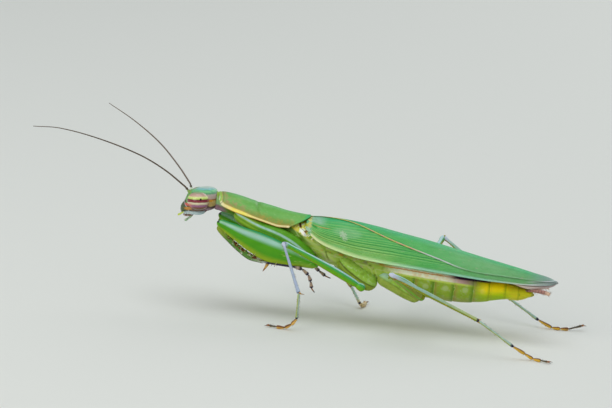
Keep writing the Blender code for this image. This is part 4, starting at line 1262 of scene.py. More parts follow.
KNEE_SWELL = {"hind_leg_left": 1.35}  # how much larger than the others a knee is
USUAL_SPURS, SPURS = (0.20, 0.20), {"mid_leg_left": (0.20, 0.44)}  # lengths of a shin's two spurs
LONG_SPUR = 0.3  # from this length on, a spur stands straight out behind
CLAW_CURL = (0.0, 0.0, -0.32)  # claws of the walking legs bend down
FLOOR_GAP = 0.004
SOLE_LEVEL = 0.25  # foot joints below this height rest on the floor
USUAL_PAD, PAD = 0.115, {"mid_leg_right": 0.155}  # half thickness of a short foot segment


def ridge(share, v):
    """A low keel along the top of a limb and two finer ones low on its sides."""
    top = np.minimum(v, 1 - v)
    return 1 + 0.16 * bell(top, 0.0, 0.05) + 0.05 * bell(top, 0.36, 0.04)


def hip_relief(share, v):
    """Three soft faces, and a crease along both sides that sinks towards the hip joint."""
    fold = np.minimum(v, 1 - v) - 0.23 - 0.05 * share
    return (1 + 0.05 * np.cos(math.tau * 3 * v) * np.sin(math.pi * share)
            - 0.10 * bell(fold, 0.0, 0.022) + 0.04 * bell(fold, -0.06, 0.03))


def lowered(leg):
    """A leg's foot joints, brought down so that a thin foot, not a thick one, rests on the floor."""
    rest = PAD.get(leg, USUAL_PAD) + FLOOR_GAP
    return [(x, y, rest if z < SOLE_LEVEL else z) for x, y, z in LEGS[leg][4]]


def foot_pieces(name, joints, pad):
    """The segments of a foot between its joints, each with the part that it belongs to."""
    short = ((0.0, 0.55 * pad), (0.35, 0.8 * pad), (0.75, pad), (1.0, 0.75 * pad))
    for index, (start, end) in enumerate(zip(joints, joints[1:])):
        part, radii, rings = "foot", short, 20
        if index == 0:
            part, radii, rings = "foot shaft", FOOT_SHAFT, 36
        elif index == len(joints) - 2:
            part, radii = "foot tip", FOOT_TIP
        steep = abs((end - start).normalized().z) > 0.9
        yield part, tube(name, (start, start.lerp(end, 0.5), end), radii, rings, sides=16,
                         up=(1.0, 0.0, 0.0) if steep else (0.0, 0.0, 1.0))


def leg_skin(leg, parts):
    """Adds a leg's pieces to the parts, and returns where its claws, with their curls, and spurs stand."""
    hip_piece, hip, knee, ankle = LEGS[leg][:4]
    kind = leg.split("_")[0]
    hip, knee, ankle = Vector(hip), Vector(knee), Vector(ankle)
    along, flex = (knee - hip).normalized(), (ankle - knee).normalized()
    hinge = along.cross(flex).normalized()
    swollen, pad = KNEE_SWELL.get(leg, 1.0), PAD.get(leg, USUAL_PAD)
    ring = (hip - along * 0.22, hip + along * 0.10, hip + along * 0.46)
    arch, bow = Vector((0.0, 0.0, 0.06)), Vector((0.0, 0.0, SHIN_BOW.get(leg, 0.0)))
    thigh = [hip + along * 0.20, hip.lerp(knee, 0.35) + arch, hip.lerp(knee, 0.70) + arch, knee]
    shin = [knee - flex * 0.10, knee.lerp(ankle, 0.12) + bow * 0.5, knee.lerp(ankle, 0.45) + bow, ankle]
    radii = [(share, radius * (1 + (swollen - 1) * (share < 0.1))) for share, radius in SHIN[kind]]
    joints = [ankle, *(Vector(joint) for joint in lowered(leg))]

    parts["hip"].append(tube(leg + "_hip", hip_piece, HIP[kind], rings=44, sides=48, flat=0.95,
                             relief=hip_relief))
    parts["thigh"].append(tube(leg + "_ring", ring, ((0.0, 0.20), (0.35, 0.27), (0.8, 0.23), (1.0, 0.19)),
                               rings=20, sides=24))
    parts["thigh"].append(tube(leg + "_thigh", thigh, THIGH[kind], rings=56, sides=32, flat=0.82,
                               relief=ridge))
    for sign in (1, -1):  # the two round lobes that cap the knee
        middle = knee + hinge * 0.10 * swollen * sign
        parts["shin"].append(tube(leg + "_lobe", (middle - along * 0.16, middle + along * 0.10 + flex * 0.05),
                                  ((0.0, 0.08), (0.5, 0.115 * swollen), (1.0, 0.08)), rings=14, sides=14,
                                  flat=0.5, up=tuple(hinge)))
    parts["shin"].append(tube(leg + "_shin", shin, radii, rings=72, sides=20, flat=0.95, relief=ridge))
    for part, piece in foot_pieces(leg + "_foot", joints, pad):
        parts[part].append(piece)

    last = joints[-1]
    way = (last - joints[-2]).normalized()
    side = way.cross(Vector((0.0, 0.0, 1.0))).normalized()
    claws = [(last + side * 0.05 * sign, way + side * 0.55 * sign + Vector((0.0, 0.0, 0.25)))
             for sign in (1, -1)]
    spurs = []
    for sign, size in zip((1, -1), SPURS.get(leg, USUAL_SPURS)):
        way = flex * 0.45 - along * 0.2 + Vector((0.2, 0.0, 0.0)) + hinge * 0.25 * sign
        if size > LONG_SPUR:
            way = Vector((1.0, -0.1, 0.0))
        spurs.append((ankle + hinge * 0.07 * sign - flex * 0.06, way, size))
    return claws, [CLAW_CURL] * 2, spurs


parts = {part: [] for part in ("hip", "thigh", "shin", "foot shaft", "foot", "foot tip")}
claw_stands, claw_curls, spur_stands = [], [], []
for leg in LEGS:
    claws, curls, spurs = leg_skin(leg, parts)
    claw_stands += claws
    claw_curls += curls
    spur_stands += spurs
print({part: len(pieces) for part, pieces in parts.items()}, "leg segments")

# %% [markdown]
# A leg is not one green. The hip is olive, the thigh bright green with a painted bluish white sheen along its
# top, the shin greyish above and yellow-green below, and the foot pale with dark rings at its joints and
# orange pads. The colours follow each segment by its own two coordinates, along it and round it.

# %% Finishes of the legs
def limb_base(name, **constants):
    """A limb's finish, how far along the limb a point is, and how near its top: 1 there and -1 below."""
    skin = Finish(name, specular_ior_level=0.22, subsurface_weight=0.08, subsurface_scale=0.0002,
                  **constants)
    return skin, skin.layout("X"), (skin.layout("Y") * math.tau).math("COSINE")


def hip_finish():
    skin, along, top = limb_base("hip skin", roughness=0.40)
    mottle, fine, blotch = skin.speckle(0.35, 3.0), skin.speckle(0.08), skin.speckle(0.22, 3.0)
    rear = skin.place("x").rise(-1.0, -0.2)
    upper = skin.blend(mottle, (132, 184, 34), (174, 210, 96))
    lower = skin.blend(mottle, (116, 154, 12), (158, 170, 62))
    lower = skin.blend(rear, lower, skin.blend(mottle, (128, 164, 34), (176, 186, 92)))
    fold = (math.tau * (0.23 + 0.05 * along)).math("COSINE")
    skin.colour = skin.blend((top - fold).rise(-0.06, 0.06), lower, upper)
    skin.paint(blotch.rise(0.55, 0.72) * top.rise(-0.1, 0.4) * 0.6, (196, 218, 176))
    skin.paint(blotch.rise(0.50, 0.30) * 0.35, (104, 124, 24))
    # painted shade: a dark olive line along the crease on each side of the hip piece
    skin.paint((top - fold).size().rise(0.14, 0.03) * (1 - rear * 0.6) * 0.8, (84, 96, 20))
    # painted highlight: pale bluish white on the top of each hind hip piece, near the body
    skin.paint(rear * along.rise(0.36, 0.12) * top.rise(-0.1, 0.6) * 0.8, (176, 212, 190))
    skin.paint(top.rise(-0.75, -0.98) * 0.5, (156, 160, 60))
    return skin.wear(skin.colour, height=fine + 2.0 * mottle, depth=0.012)


def thigh_finish():
    skin, along, top = limb_base("thigh skin", roughness=0.34)
    mottle, fine = skin.speckle(0.3, 3.0), skin.speckle(0.06)
    skin.colour = skin.blend(mottle, (88, 160, 12), (124, 186, 34))
    skin.paint(top.rise(0.0, 0.6), (70, 172, 92))
    # painted sheen: bluish white along the top of the thigh
    skin.paint(top.rise(0.70, 0.92), (184, 222, 222))
    under = skin.blend(mottle, (118, 146, 4), (160, 158, 10))
    skin.paint(top.rise(-0.45, -0.70), under)
    skin.paint(top.near(-0.50, 0.16), (96, 200, 8))
    rear = skin.place("x").rise(-0.1, 0.3) * along.rise(0.95, 0.85)
    olive = skin.blend(mottle, (122, 148, 2), (160, 158, 6))
    skin.paint(rear * top.inside(-0.62, 0.60, 0.1), olive)
    skin.paint(rear * top.near(-0.78, 0.16), (96, 196, 6))
    # painted highlight: a pale bluish end at the knee
    skin.paint(along.rise(0.93, 0.985), (186, 206, 206))
    return skin.wear(skin.colour, height=fine + 2.0 * mottle, depth=0.006)


def shin_finish():
    skin, along, top = limb_base("shin skin", roughness=0.34)
    x, mottle, fine = skin.place("x"), skin.speckle(0.2, 3.0), skin.speckle(0.05)
    mid = skin.blend(mottle, (148, 164, 192), (184, 196, 214))
    mid = skin.blend(top.rise(-0.2, -0.7), mid, (146, 182, 84))
    upper = skin.blend(along.rise(0.35, 0.95), skin.blend(mottle, (136, 178, 158), (160, 194, 180)),
                       skin.blend(mottle, (160, 182, 110), (196, 206, 150)))
    lower = skin.blend(mottle, (92, 136, 10), (166, 158, 24))
    lower = skin.blend(skin.speckle(0.3, 2.0).rise(0.55, 0.70) * 0.7, lower, (220, 168, 44))
    hind = skin.blend(top.rise(0.25, -0.15), upper, lower)
    skin.colour = skin.blend(x.rise(-5.3, -4.9), mid, hind)
    # painted highlight: pale lavender white on the upper side of the shin's start, at the knee
    skin.paint(along.rise(0.16, 0.03) * top.rise(-0.5, 0.0) * 0.9, (204, 208, 230))
    knee = along.near(0.075, 0.03) * top.near(-0.3, 0.5)
    skin.paint(knee * 0.8, (150, 60, 24))
    skin.paint(along.near(0.985, 0.015) * fine.rise(0.35, 0.6), (46, 36, 52))
    skin.paint(along.rise(0.965, 0.98) * x.rise(4.0, 5.0), (44, 40, 56))
    return skin.wear(skin.colour, height=fine + 2.0 * mottle, depth=0.006)


def foot_finish(name, above, below, joint, joint_start, hind_share=0.0):
    """A foot segment: two colours above, two below, another at its far joint, and yellow on one leg."""
    skin, along, top = limb_base(name, roughness=0.42)
    mottle = skin.speckle(0.10, 3.0)
    x, y, z = skin.place("x"), skin.place("y"), skin.place("z")
    skin.colour = skin.blend((top + 0.5 * (mottle - 0.5)).rise(-0.25, 0.25), skin.blend(mottle, *below),
                             skin.blend(mottle, *above))
    straw = y.rise(3.0, 3.4) * x.rise(0.0, -0.4) * z.rise(0.75, 0.45)  # one foot is paler than the rest
    skin.paint(straw * 0.85, skin.blend(mottle, (212, 184, 104), (240, 220, 196)))
    hind = x.rise(6.5, 7.5) * top.rise(0.75, 0.30) * x.rise(12.6, 11.8)
    skin.paint(hind * hind_share, skin.blend(mottle, (206, 150, 22), (240, 202, 74)))
    skin.paint(along.rise(joint_start, joint_start + 0.07), joint)
    return skin.wear(skin.colour, height=mottle, depth=0.008)


FINISHES = {
    "hip": hip_finish(), "thigh": thigh_finish(), "shin": shin_finish(),
    "foot shaft": foot_finish("foot shaft skin", ((150, 184, 168), (190, 214, 200)),
                              ((140, 178, 116), (200, 196, 116)), (34, 30, 54), 0.88),
    "foot": foot_finish("foot pad skin", ((74, 34, 24), (150, 100, 52)),
                        ((218, 150, 44), (240, 208, 120)), (56, 44, 52), 0.91, 0.85),
    "foot tip": foot_finish("foot tip skin", ((44, 36, 30), (90, 84, 70)),
                            ((96, 84, 60), (150, 130, 90)), (30, 26, 26), 0.90),
}
for part, pieces in parts.items():
    for piece in pieces:
        coat(piece, FINISHES[part])
print(len(FINISHES), "leg finishes ready")

# %% [markdown]
# ## The forelegs
# A mantis's forelegs are folded jackknives. The hip piece is long, the thigh is a deep blade with a groove
# under it, and the shin closes into that groove like the blade of a knife and ends in a hooked claw. Both
# edges of the groove and of the shin carry rows of spines. The slim foot starts on the outer side of the
# shin's end and hangs back along the thigh.

# %% Forelegs
FORE_COXA = (  # right side: place, half depth, half width along each segment
    ((-10.10, 0.72, 6.52), 0.20, 0.20), ((-9.70, 0.82, 6.26), 0.38, 0.30), ((-8.60, 0.92, 5.80), 0.45, 0.34),
    ((-7.20, 0.96, 5.40), 0.52, 0.35), ((-6.40, 0.97, 5.08), 0.52, 0.34), ((-5.80, 0.98, 4.76), 0.48, 0.32),
    ((-4.90, 1.00, 4.20), 0.36, 0.27), ((-4.62, 1.02, 3.98), 0.24, 0.20),
)
FORE_FEMUR = (
    ((-4.42, 1.22, 3.72), 0.20, 0.17), ((-4.75, 1.24, 3.80), 0.31, 0.26), ((-5.70, 1.27, 4.03), 0.49, 0.34),
    ((-6.70, 1.28, 4.26), 0.66, 0.37), ((-7.60, 1.28, 4.46), 0.77, 0.38), ((-8.60, 1.27, 4.84), 0.69, 0.37),
    ((-9.60, 1.26, 5.25), 0.52, 0.33), ((-10.50, 1.25, 5.64), 0.35, 0.28), ((-11.00, 1.25, 5.84), 0.25, 0.22),
    ((-11.18, 1.25, 5.90), 0.16, 0.14),
)
FORE_TIBIA = (
    ((-11.12, 1.22, 5.60), 0.12, 0.10), ((-10.90, 1.22, 5.40), 0.20, 0.15),
    ((-10.28, 1.21, 4.82), 0.18, 0.14), ((-9.58, 1.20, 4.28), 0.20, 0.15), ((-8.85, 1.19, 3.83), 0.21, 0.16),
    ((-8.20, 1.18, 3.68), 0.18, 0.14), ((-7.85, 1.16, 3.58), 0.13, 0.11),
)
FORE_TARSUS = {
    "right": ((-8.05, 1.42, 3.62), (-6.00, 1.50, 3.56), (-5.20, 1.53, 3.42), (-4.68, 1.56, 3.08),
              (-4.22, 1.58, 2.74), (-3.80, 1.60, 2.46)),
    "left": ((-8.05, -1.42, 3.62), (-6.00, -1.50, 3.55), (-5.35, -1.53, 3.46), (-4.92, -1.56, 3.12),
             (-4.72, -1.58, 2.70), (-4.62, -1.60, 2.27)),
}


def limb(name, rows, sign, rings, sides, relief):
    """A limb segment from rows of place, half depth and half width, on the right (1) or left (-1)."""
    path = [(x, y * sign, z) for (x, y, z), deep, wide in rows]
    run = path_rows(path)[0][:, 0]
    radii = [(share, deep, wide) for share, (_, deep, wide) in zip(run, rows)]
    return tube(name, path, radii, rings, sides, relief=relief)


def coxa_relief(share, v):
    """Three blunt ridges run along the hip piece, with a row of small knobs on the lowest."""
    knobs = 0.5 + 0.5 * np.sin(share * 44.0)
    ridge_place = 0.13 + 0.08 * share  # the ridge on each face sinks towards the hip joint
    return (1 + 0.09 * bell(np.minimum(v, 1 - v), ridge_place, 0.045)
            + (0.05 + 0.05 * knobs) * bell(v, 0.5, 0.045))


def femur_relief(share, v):
    """The thigh: a keel on top, a shallow furrow on each face, and the groove for the shin below."""
    low = np.abs(v - 0.5)
    groove = np.clip((share - 0.12) / 0.1, 0, 1) * np.clip((0.98 - share) / 0.1, 0, 1)
    return (1 + 0.05 * bell(np.minimum(v, 1 - v), 0.0, 0.04) - 0.035 * bell(low, 0.26, 0.03)
            - 0.12 * groove * bell(low, 0.0, 0.040) + 0.14 * groove * bell(low, 0.085, 0.035))


def tibia_relief(share, v):
    """The shin: a row of knobs along each face, just off its top."""
    knobs = 0.5 + 0.5 * np.sin(share * 62.0)
    return 1 + 0.22 * knobs * bell(np.minimum(v, 1 - v), 0.10, 0.05)


def along_rows(rows, x):
    """Centre and half sizes of a limb at body positions x."""
    table = sorted((place[0], *place, deep, wide) for place, deep, wide in rows)
    return smooth_rows(table, x)


def spine_row(rows, sign, start, stop, count, down, out, way, sizes):
    """A row of spines on one edge of a limb: down and out place it, in shares of the half sizes, and sizes
    holds the longest and shortest spine, which alternate."""
    x = np.linspace(start, stop, count)
    cx, cy, cz, deep, wide = along_rows(rows, x)
    roots = np.stack([cx, (cy + out * wide) * sign, cz - down * deep], axis=1)
    ways = np.tile(np.array(way) * (1, sign, 1), (count, 1))
    lengths = np.where(np.arange(count) % 2 == 0, *sizes) * rng.uniform(0.88, 1.12, count)
    return roots, ways, lengths


FORE_RING = ((-4.80, 1.02, 3.92), (-4.50, 1.12, 3.78), (-4.62, 1.22, 3.74))
FORE_SHAFT = ((0.0, 0.045), (0.1, 0.062), (0.9, 0.080), (1.0, 0.055))
FORE_FOOT = ((0.0, 0.060), (0.4, 0.095), (0.8, 0.125), (1.0, 0.080))
SPINE_ROWS = (  # limb, start, stop, count, down, out, way, longest and shortest
    (FORE_FEMUR, -9.9, -5.6, 4, 0.84, 0.58, (-0.45, 0.40, -0.9), (0.42, 0.36)),
    (FORE_FEMUR, -10.3, -5.9, 13, 0.86, -0.50, (-0.35, -0.25, -0.9), (0.30, 0.16)),
    (FORE_FEMUR, -7.9, -6.9, 4, 0.92, 0.05, (-0.5, 0.1, -0.9), (0.40, 0.30)),
    (FORE_TIBIA, -10.6, -8.1, 10, -0.55, 0.75, (0.55, 0.35, 0.75), (0.26, 0.24)),
    (FORE_TIBIA, -10.5, -8.0, 12, -0.55, -0.75, (0.55, -0.30, 0.75), (0.30, 0.26)),
    (FORE_COXA, -9.3, -5.4, 9, 0.98, 0.0, (-0.3, 0.0, -1.0), (0.10, 0.07)),
)
spines = []
fore_parts = {part: [] for part in ("fore hip", "fore thigh", "fore shin", "fore foot")}
for side, sign in reversed(SIDES):
    name = "fore_" + side
    ring = [(x, y * sign, z) for x, y, z in FORE_RING]
    fore_parts["fore hip"].append(limb(name + "_coxa", FORE_COXA, sign, 90, 48, coxa_relief))
    fore_parts["fore hip"].append(tube(name + "_ring", ring, ((0.0, 0.22), (0.5, 0.27), (1.0, 0.22)),
                                       rings=20, sides=24))
    fore_parts["fore thigh"].append(limb(name + "_femur", FORE_FEMUR, sign, 130, 64, femur_relief))
    fore_parts["fore shin"].append(limb(name + "_tibia", FORE_TIBIA, sign, 110, 32, tibia_relief))
    joints = [Vector(point) for point in FORE_TARSUS[side]]
    for index, (start, end) in enumerate(zip(joints, joints[1:])):
        radii, rings = (FORE_FOOT, 18) if index else (FORE_SHAFT, 36)
        fore_parts["fore foot"].append(tube(name + "_foot", (start, start.lerp(end, 0.5), end), radii, rings,
                                            sides=14))
    last, way = joints[-1], (joints[-1] - joints[-2]).normalized()
    for spread in (1, -1):
        claw_stands.append((last, way + Vector((0.35, 0.45 * spread, 0.0))))
        claw_curls.append((0.25, 0.0, 0.05))
    claw_stands.append((Vector((-7.80, 1.17 * sign, 3.62)), Vector((1.0, -0.12 * sign, -0.12))))
    claw_curls.append((0.10, 0.0, 0.22))
    spines += [spine_row(rows, sign, *row) for rows, *row in SPINE_ROWS]
roots, ways, lengths = (np.concatenate(column) for column in zip(*spines))
fore_spines = cones("fore_spines", roots, ways, lengths, 0.05 * lengths + 0.022, sides=8)
settle(coat(fore_spines, spine_horn), "limb")
print(len(roots), "spines")

# %% [markdown]
# The thigh of the foreleg is the most vivid green on the animal, with a painted bluish white sheen high on
# its outer face and a yellow-olive lower edge. The shin is pale, with dark brown marks along its upper side,
# partly its own spots and partly painted shadow of its spines and of the thigh's edge, and the slim foot is
# nearly black with tan joints.

# %% Finishes of the forelegs
def fore_hip_finish():
    skin, along, top = limb_base("fore hip skin", roughness=0.36)
    mottle, fine = skin.speckle(0.35, 3.0), skin.speckle(0.07)
    skin.colour = skin.blend(mottle, (74, 150, 10), (110, 176, 46))
    skin.paint(skin.place("x").rise(-8.2, -9.0), skin.blend(mottle, (120, 172, 16), (160, 194, 66)))
    # painted reflection: a pale blue-white stripe along the ridge of the hip piece
    ridge_place = (math.tau * (0.170 + 0.06 * along)).math("COSINE")
    skin.paint((top - ridge_place).size().rise(0.22, 0.04) * (0.50 + 0.6 * mottle), (184, 222, 216))
    # painted shade: a dark green band just below that stripe
    skin.paint((top - ridge_place + 0.42).size().rise(0.2, 0.0) * 0.6, (44, 118, 20))
    skin.paint(top.rise(-0.4, -0.9), (112, 150, 30))
    return skin.wear(skin.colour, height=fine + 2.0 * mottle, depth=0.008)


def fore_thigh_finish():
    skin, _, top = limb_base("fore thigh skin", roughness=0.30, coat_weight=0.06, coat_roughness=0.3)
    x = skin.place("x")
    mottle, fine = skin.speckle(0.4, 3.0, (0.4, 1.0, 1.0)), skin.speckle(0.06)
    skin.colour = skin.blend(mottle, (66, 150, 8), (92, 172, 24))
    sheen = (top - 0.20 * x.rise(-9.8, -7.2)).inside(0.30, 0.80, 0.22)
    sheen = sheen * (0.35 + 0.55 * x.inside(-11.0, -6.6, 0.8))
    skin.paint(sheen * (0.65 + 0.5 * mottle), (176, 218, 206))
    skin.paint(top.rise(0.82, 0.98), (54, 158, 98))
    low = skin.blend(mottle, (128, 168, 16), (166, 184, 36))
    skin.paint(top.rise(-0.35, -0.85), low)
    skin.paint(x.rise(-6.4, -5.2) * top.rise(0.3, -0.6) * 0.7, (150, 186, 56))
    streaks = skin.speckle(0.16, 2.0, (0.25, 1.0, 1.0)).rise(0.58, 0.70) * x.rise(-7.2, -6.2)
    skin.paint(streaks * 0.5, (200, 214, 120))
    skin.paint(x.rise(-10.95, -11.12) * top.rise(-0.2, 0.4), (36, 40, 44))
    return skin.wear(skin.colour, height=fine + 2.0 * mottle, depth=0.006)


def fore_shin_finish():
    skin, along, top = limb_base("fore shin skin", roughness=0.36)
    mottle, fine = skin.speckle(0.2, 3.0), skin.speckle(0.05)
    skin.colour = skin.blend(mottle, (62, 122, 28), (112, 152, 74))
    pale = skin.speckle(0.30, 2.0, (1.0, 0.7, 1.3)).rise(0.55, 0.66) * along.rise(0.25, 0.40)
    pale = (pale + along.inside(0.80, 0.97, 0.05) * mottle).least(1.0)
    skin.paint(pale * 0.85, (206, 212, 188))
    # partly the shin's own dark spots and partly painted shadow of its spines and of the thigh's edge
    spots_and_spine_shadows = skin.speckle(0.22, 3.0, (1.2, 1.0, 1.0)).rise(0.46, 0.56) * along.inside(0.22, 0.98, 0.08)
    skin.paint(spots_and_spine_shadows * top.rise(-0.30, 0.2), skin.blend(fine, (58, 24, 10), (126, 70, 30)))
    skin.paint(top.rise(-0.62, -0.84) * along.rise(0.05, 0.2) * 0.85, (62, 52, 26))
    skin.paint(along.rise(0.30, 0.08), skin.blend(mottle, (124, 146, 30), (160, 172, 70)))
    return skin.wear(skin.colour, height=fine + 2.0 * mottle, depth=0.006)


def fore_foot_finish():
    skin, along, _ = limb_base("fore foot skin", roughness=0.40)
    mottle = skin.speckle(0.12, 3.0)
    skin.colour = skin.blend(mottle, (34, 30, 44), (70, 64, 84))
    tan = skin.blend(mottle, (126, 84, 56), (206, 192, 172))
    skin.paint(skin.place("x").rise(-5.9, -5.7) * along.inside(0.12, 0.70, 0.1), tan)
    skin.paint(skin.place("x").rise(-7.6, -7.9) * 0.8, (196, 204, 200))
    return skin.wear(skin.colour, height=mottle, depth=0.006)


FORE_FINISHES = {"fore hip": fore_hip_finish(), "fore thigh": fore_thigh_finish(),
                 "fore shin": fore_shin_finish(), "fore foot": fore_foot_finish()}
for part, pieces in fore_parts.items():
    for piece in pieces:
        coat(piece, FORE_FINISHES[part])
print({part: len(pieces) for part, pieces in fore_parts.items()}, "foreleg segments")

# %% [markdown]
# ## Claws and spurs
# Each foot ends in a pair of dark hooks, and each shin of a walking leg in two tan spurs. A larger tan hook
# hangs from the end of each foreleg's shin. They are horn, not skin, so they are pieces of their own.

# %% Claws and spurs
CLAW_LENGTH, CLAW_RADIUS = 0.36, 0.050
SPUR_RADIUS = 0.050
HOOK_ROOTS, HOOK_WAY = ((-7.62, 1.30, 3.52), (-7.62, -1.30, 3.52)), (-0.30, 0.0, -0.75)
HOOK_LENGTH, HOOK_RADIUS, HOOK_CURL = 0.62, 0.115, (-0.10, 0.0, 0.0)

claws = cones("claws", *zip(*claw_stands), CLAW_LENGTH, CLAW_RADIUS, claw_curls, sides=10)
settle(coat(claws, claw_horn), "foot")
spurs = cones("spurs", *zip(*spur_stands), SPUR_RADIUS, sides=10)
spur_horn = horn_finish("spur horn", (206, 158, 72), (130, 78, 30))
settle(coat(spurs, spur_horn), "shin")
hooks = cones("shin_hooks", HOOK_ROOTS, (HOOK_WAY, HOOK_WAY), HOOK_LENGTH, HOOK_RADIUS, HOOK_CURL, sides=12)
settle(coat(hooks, spur_horn), "shin")

# %% [markdown]
# ## Mouthparts
# Below the head hang the lip, the tips of the jaws, and two pairs of feelers for tasting: the jaw palps,
# five segments each and green at their tips, and the shorter lip palps, pale at theirs.

# %% Mouthparts
PALPS = {  # joints, each with the radius of the segment that follows; the jaw palp, then the lip palp
    "left": ((((-12.55, -0.74, 6.20), 0.085), ((-12.95, -0.74, 6.18), 0.085), ((-13.20, -0.66, 6.16), 0.075),
              ((-13.46, -0.54, 6.14), 0.064), ((-13.76, -0.47, 5.92), 0.040)),
             (((-12.72, -0.20, 6.10), 0.065), ((-12.92, -0.32, 6.00), 0.075), ((-13.20, -0.36, 5.92), 0.078),
              ((-13.44, -0.32, 5.96), 0.040))),
    "right": ((((-12.55, 0.74, 6.22), 0.085), ((-12.95, 0.74, 6.20), 0.085), ((-13.22, 0.66, 6.14), 0.075),
               ((-13.44, 0.54, 6.02), 0.060), ((-13.66, 0.46, 5.78), 0.040)),
              (((-12.72, 0.20, 6.10), 0.060), ((-12.84, 0.28, 5.88), 0.080), ((-13.04, 0.32, 5.64), 0.085),
               ((-13.30, 0.30, 5.42), 0.050))),
}


def palp(joints):
    """The segments of one palp, which run a little into each other."""
    points = [Vector(place) for place, _ in joints]
    return [tube("palp", (start.lerp(end, -0.12), start.lerp(end, 0.5), end.lerp(start, -0.06)),
                 ((0.0, 0.6 * radius), (0.5, 0.9 * radius), (0.85, radius), (1.0, 0.7 * radius)),
                 rings=16, sides=14)
            for start, end, (_, radius) in zip(points, points[1:], joints)]


def palp_finish():
    skin = Finish("palp skin", roughness=0.38, subsurface_weight=0.1, subsurface_scale=0.0002)
    x, side, z = skin.place("x"), skin.place("y").size(), skin.place("z")
    grain = skin.speckle(0.10, 3.0)
    brown = skin.blend(grain, (116, 62, 36), (176, 128, 100))
    brown = skin.blend(z.rise(5.86, 5.76), brown, (176, 206, 168))
    brown = skin.blend(x.rise(-13.28, -13.36), brown, (206, 196, 204))
    pale = skin.blend(x.rise(-13.36, -13.48), skin.blend(grain, (168, 192, 196), (206, 214, 212)),
                      (196, 212, 84))
    return skin.wear(skin.blend(side.rise(0.40, 0.45), brown, pale), height=grain, depth=0.006)


def jaw_finish():
    horn = Finish("jaw horn", roughness=0.30)
    x, side, grain = horn.place("x"), horn.place("y").size(), horn.speckle(0.14, 3.0)
    outer = horn.blend(grain, (150, 186, 190), (206, 220, 222))
    colour = horn.blend(side.rise(0.50, 0.62), horn.blend(grain, (96, 54, 34), (140, 92, 64)), outer)
    return horn.wear(horn.blend(x.rise(-12.10, -11.96), colour, (120, 80, 84)), height=grain, depth=0.006)


palp_skin, jaw_horn = palp_finish(), jaw_finish()
for side, joints in PALPS.items():
    mouth = join("palps_" + side, [coat(piece, palp_skin) for one in joints for piece in palp(one)])
    settle(mouth, "green_skin", "palp_" + side)
jaws = [tube("lip", ((-13.48, 0.0, 6.34), (-13.50, 0.0, 6.18), (-13.42, 0.0, 6.04)),
             ((0.0, 0.09), (0.5, 0.08), (1.0, 0.05)), rings=26, sides=28, flat=3.2, up=(1.0, 0.0, 0.0)),
        tube("chin", ((-12.30, 0.0, 6.26), (-12.80, 0.0, 6.08), (-13.20, 0.0, 6.00)),
             ((0.0, 0.14), (0.5, 0.12), (1.0, 0.06)), rings=26, sides=24, flat=2.0)]
for sign in (1, -1):
    jaw = ((-12.62, 0.46 * sign, 6.30), (-12.95, 0.36 * sign, 6.12), (-13.28, 0.12 * sign, 6.02))
    cheek = ((-11.92, 0.62 * sign, 6.44), (-12.30, 0.74 * sign, 6.24), (-12.90, 0.66 * sign, 6.18),
             (-13.36, 0.44 * sign, 6.18))
    jaws.append(tube("jaw", jaw, ((0.0, 0.18), (0.5, 0.17), (1.0, 0.07)), rings=26, sides=20, flat=0.7))
    jaws.append(tube("cheek", cheek, ((0.0, 0.05), (0.25, 0.13), (0.6, 0.12), (1.0, 0.06)),
                     rings=44, sides=24, flat=0.8))
settle(cock(join("jaws", [coat(piece, jaw_horn) for piece in jaws])), "green_skin")

# %% [markdown]
# ## Feelers
# The antennae are threads of some ninety tiny beads. Each grows from a thicker base segment in its socket
# and tapers to a tip too fine to print, so the solids carry them at half a millimetre and here they get
# their true thinness.

# %% Feelers
FEELERS = {
    "left": ((-13.10, -0.43, 7.44), (-13.47, -0.55, 7.84), (-14.88, -1.00, 8.89), (-16.56, -1.60, 9.82),
             (-19.19, -2.60, 10.79), (-21.76, -3.60, 11.42), (-23.46, -4.20, 11.48)),
    "right": ((-13.02, 0.43, 7.40), (-13.22, 0.85, 7.80), (-14.17, 2.20, 8.65), (-15.55, 4.20, 9.58),
              (-17.45, 7.00, 10.31), (-19.39, 9.50, 10.84)),
}
BEADS, FEELER_RADII = 88, ((0.0, 0.058), (0.15, 0.050), (0.5, 0.042), (1.0, 0.022))


def beaded(count, waist, swelling):
    """A relief of beads along a bar: a factor of waist between two beads, and more in the middle of each."""
    def relief(share, _):
        return waist + swelling * np.abs(np.sin(math.pi * count * share)) ** 0.6
    return relief


def feeler_finish(side, stem, thread):
    shaft = Finish(side + " feeler", roughness=0.45)
    grain = shaft.speckle(0.3)
    gaps = shaft.gaps(BEADS).rise(0.35, 0.1)
    colour = shaft.blend(gaps * 0.6, shaft.blend(grain, thread, (104, 82, 60)), (140, 120, 92))
    base = shaft.place("z").rise(FEELERS[side][0][2] + 0.26, FEELERS[side][0][2] + 0.14)
    return shaft.wear(shaft.blend(base, colour, stem), height=grain, depth=0.004)


FEELER_TINTS = {"left": ((150, 182, 96), (46, 36, 30)), "right": ((206, 222, 196), (92, 84, 80))}
for side, points in FEELERS.items():
    base = Vector(points[0])
    way = (Vector(points[1]) - base).normalized()
    pieces = [tube("stem", (base - way * 0.10, base + way * 0.13, base + way * 0.30),
                   ((0.0, 0.10), (0.5, 0.115), (1.0, 0.08)), rings=22, sides=20),
              tube("pedicel", (base + way * 0.30, base + way * 0.40, base + way * 0.50),
                   ((0.0, 0.060), (0.5, 0.085), (1.0, 0.055)), rings=14, sides=16)]
    thread = [base + way * 0.48, *points[1:]]
    pieces.append(tube("thread", thread, FEELER_RADII, rings=BEADS * 6, sides=8,
                       relief=beaded(BEADS, 0.90, 0.13)))
    material = feeler_finish(side, *FEELER_TINTS[side])
    settle(join("antenna_" + side, [coat(piece, material) for piece in pieces]), "feeler", "feeler_" + side)

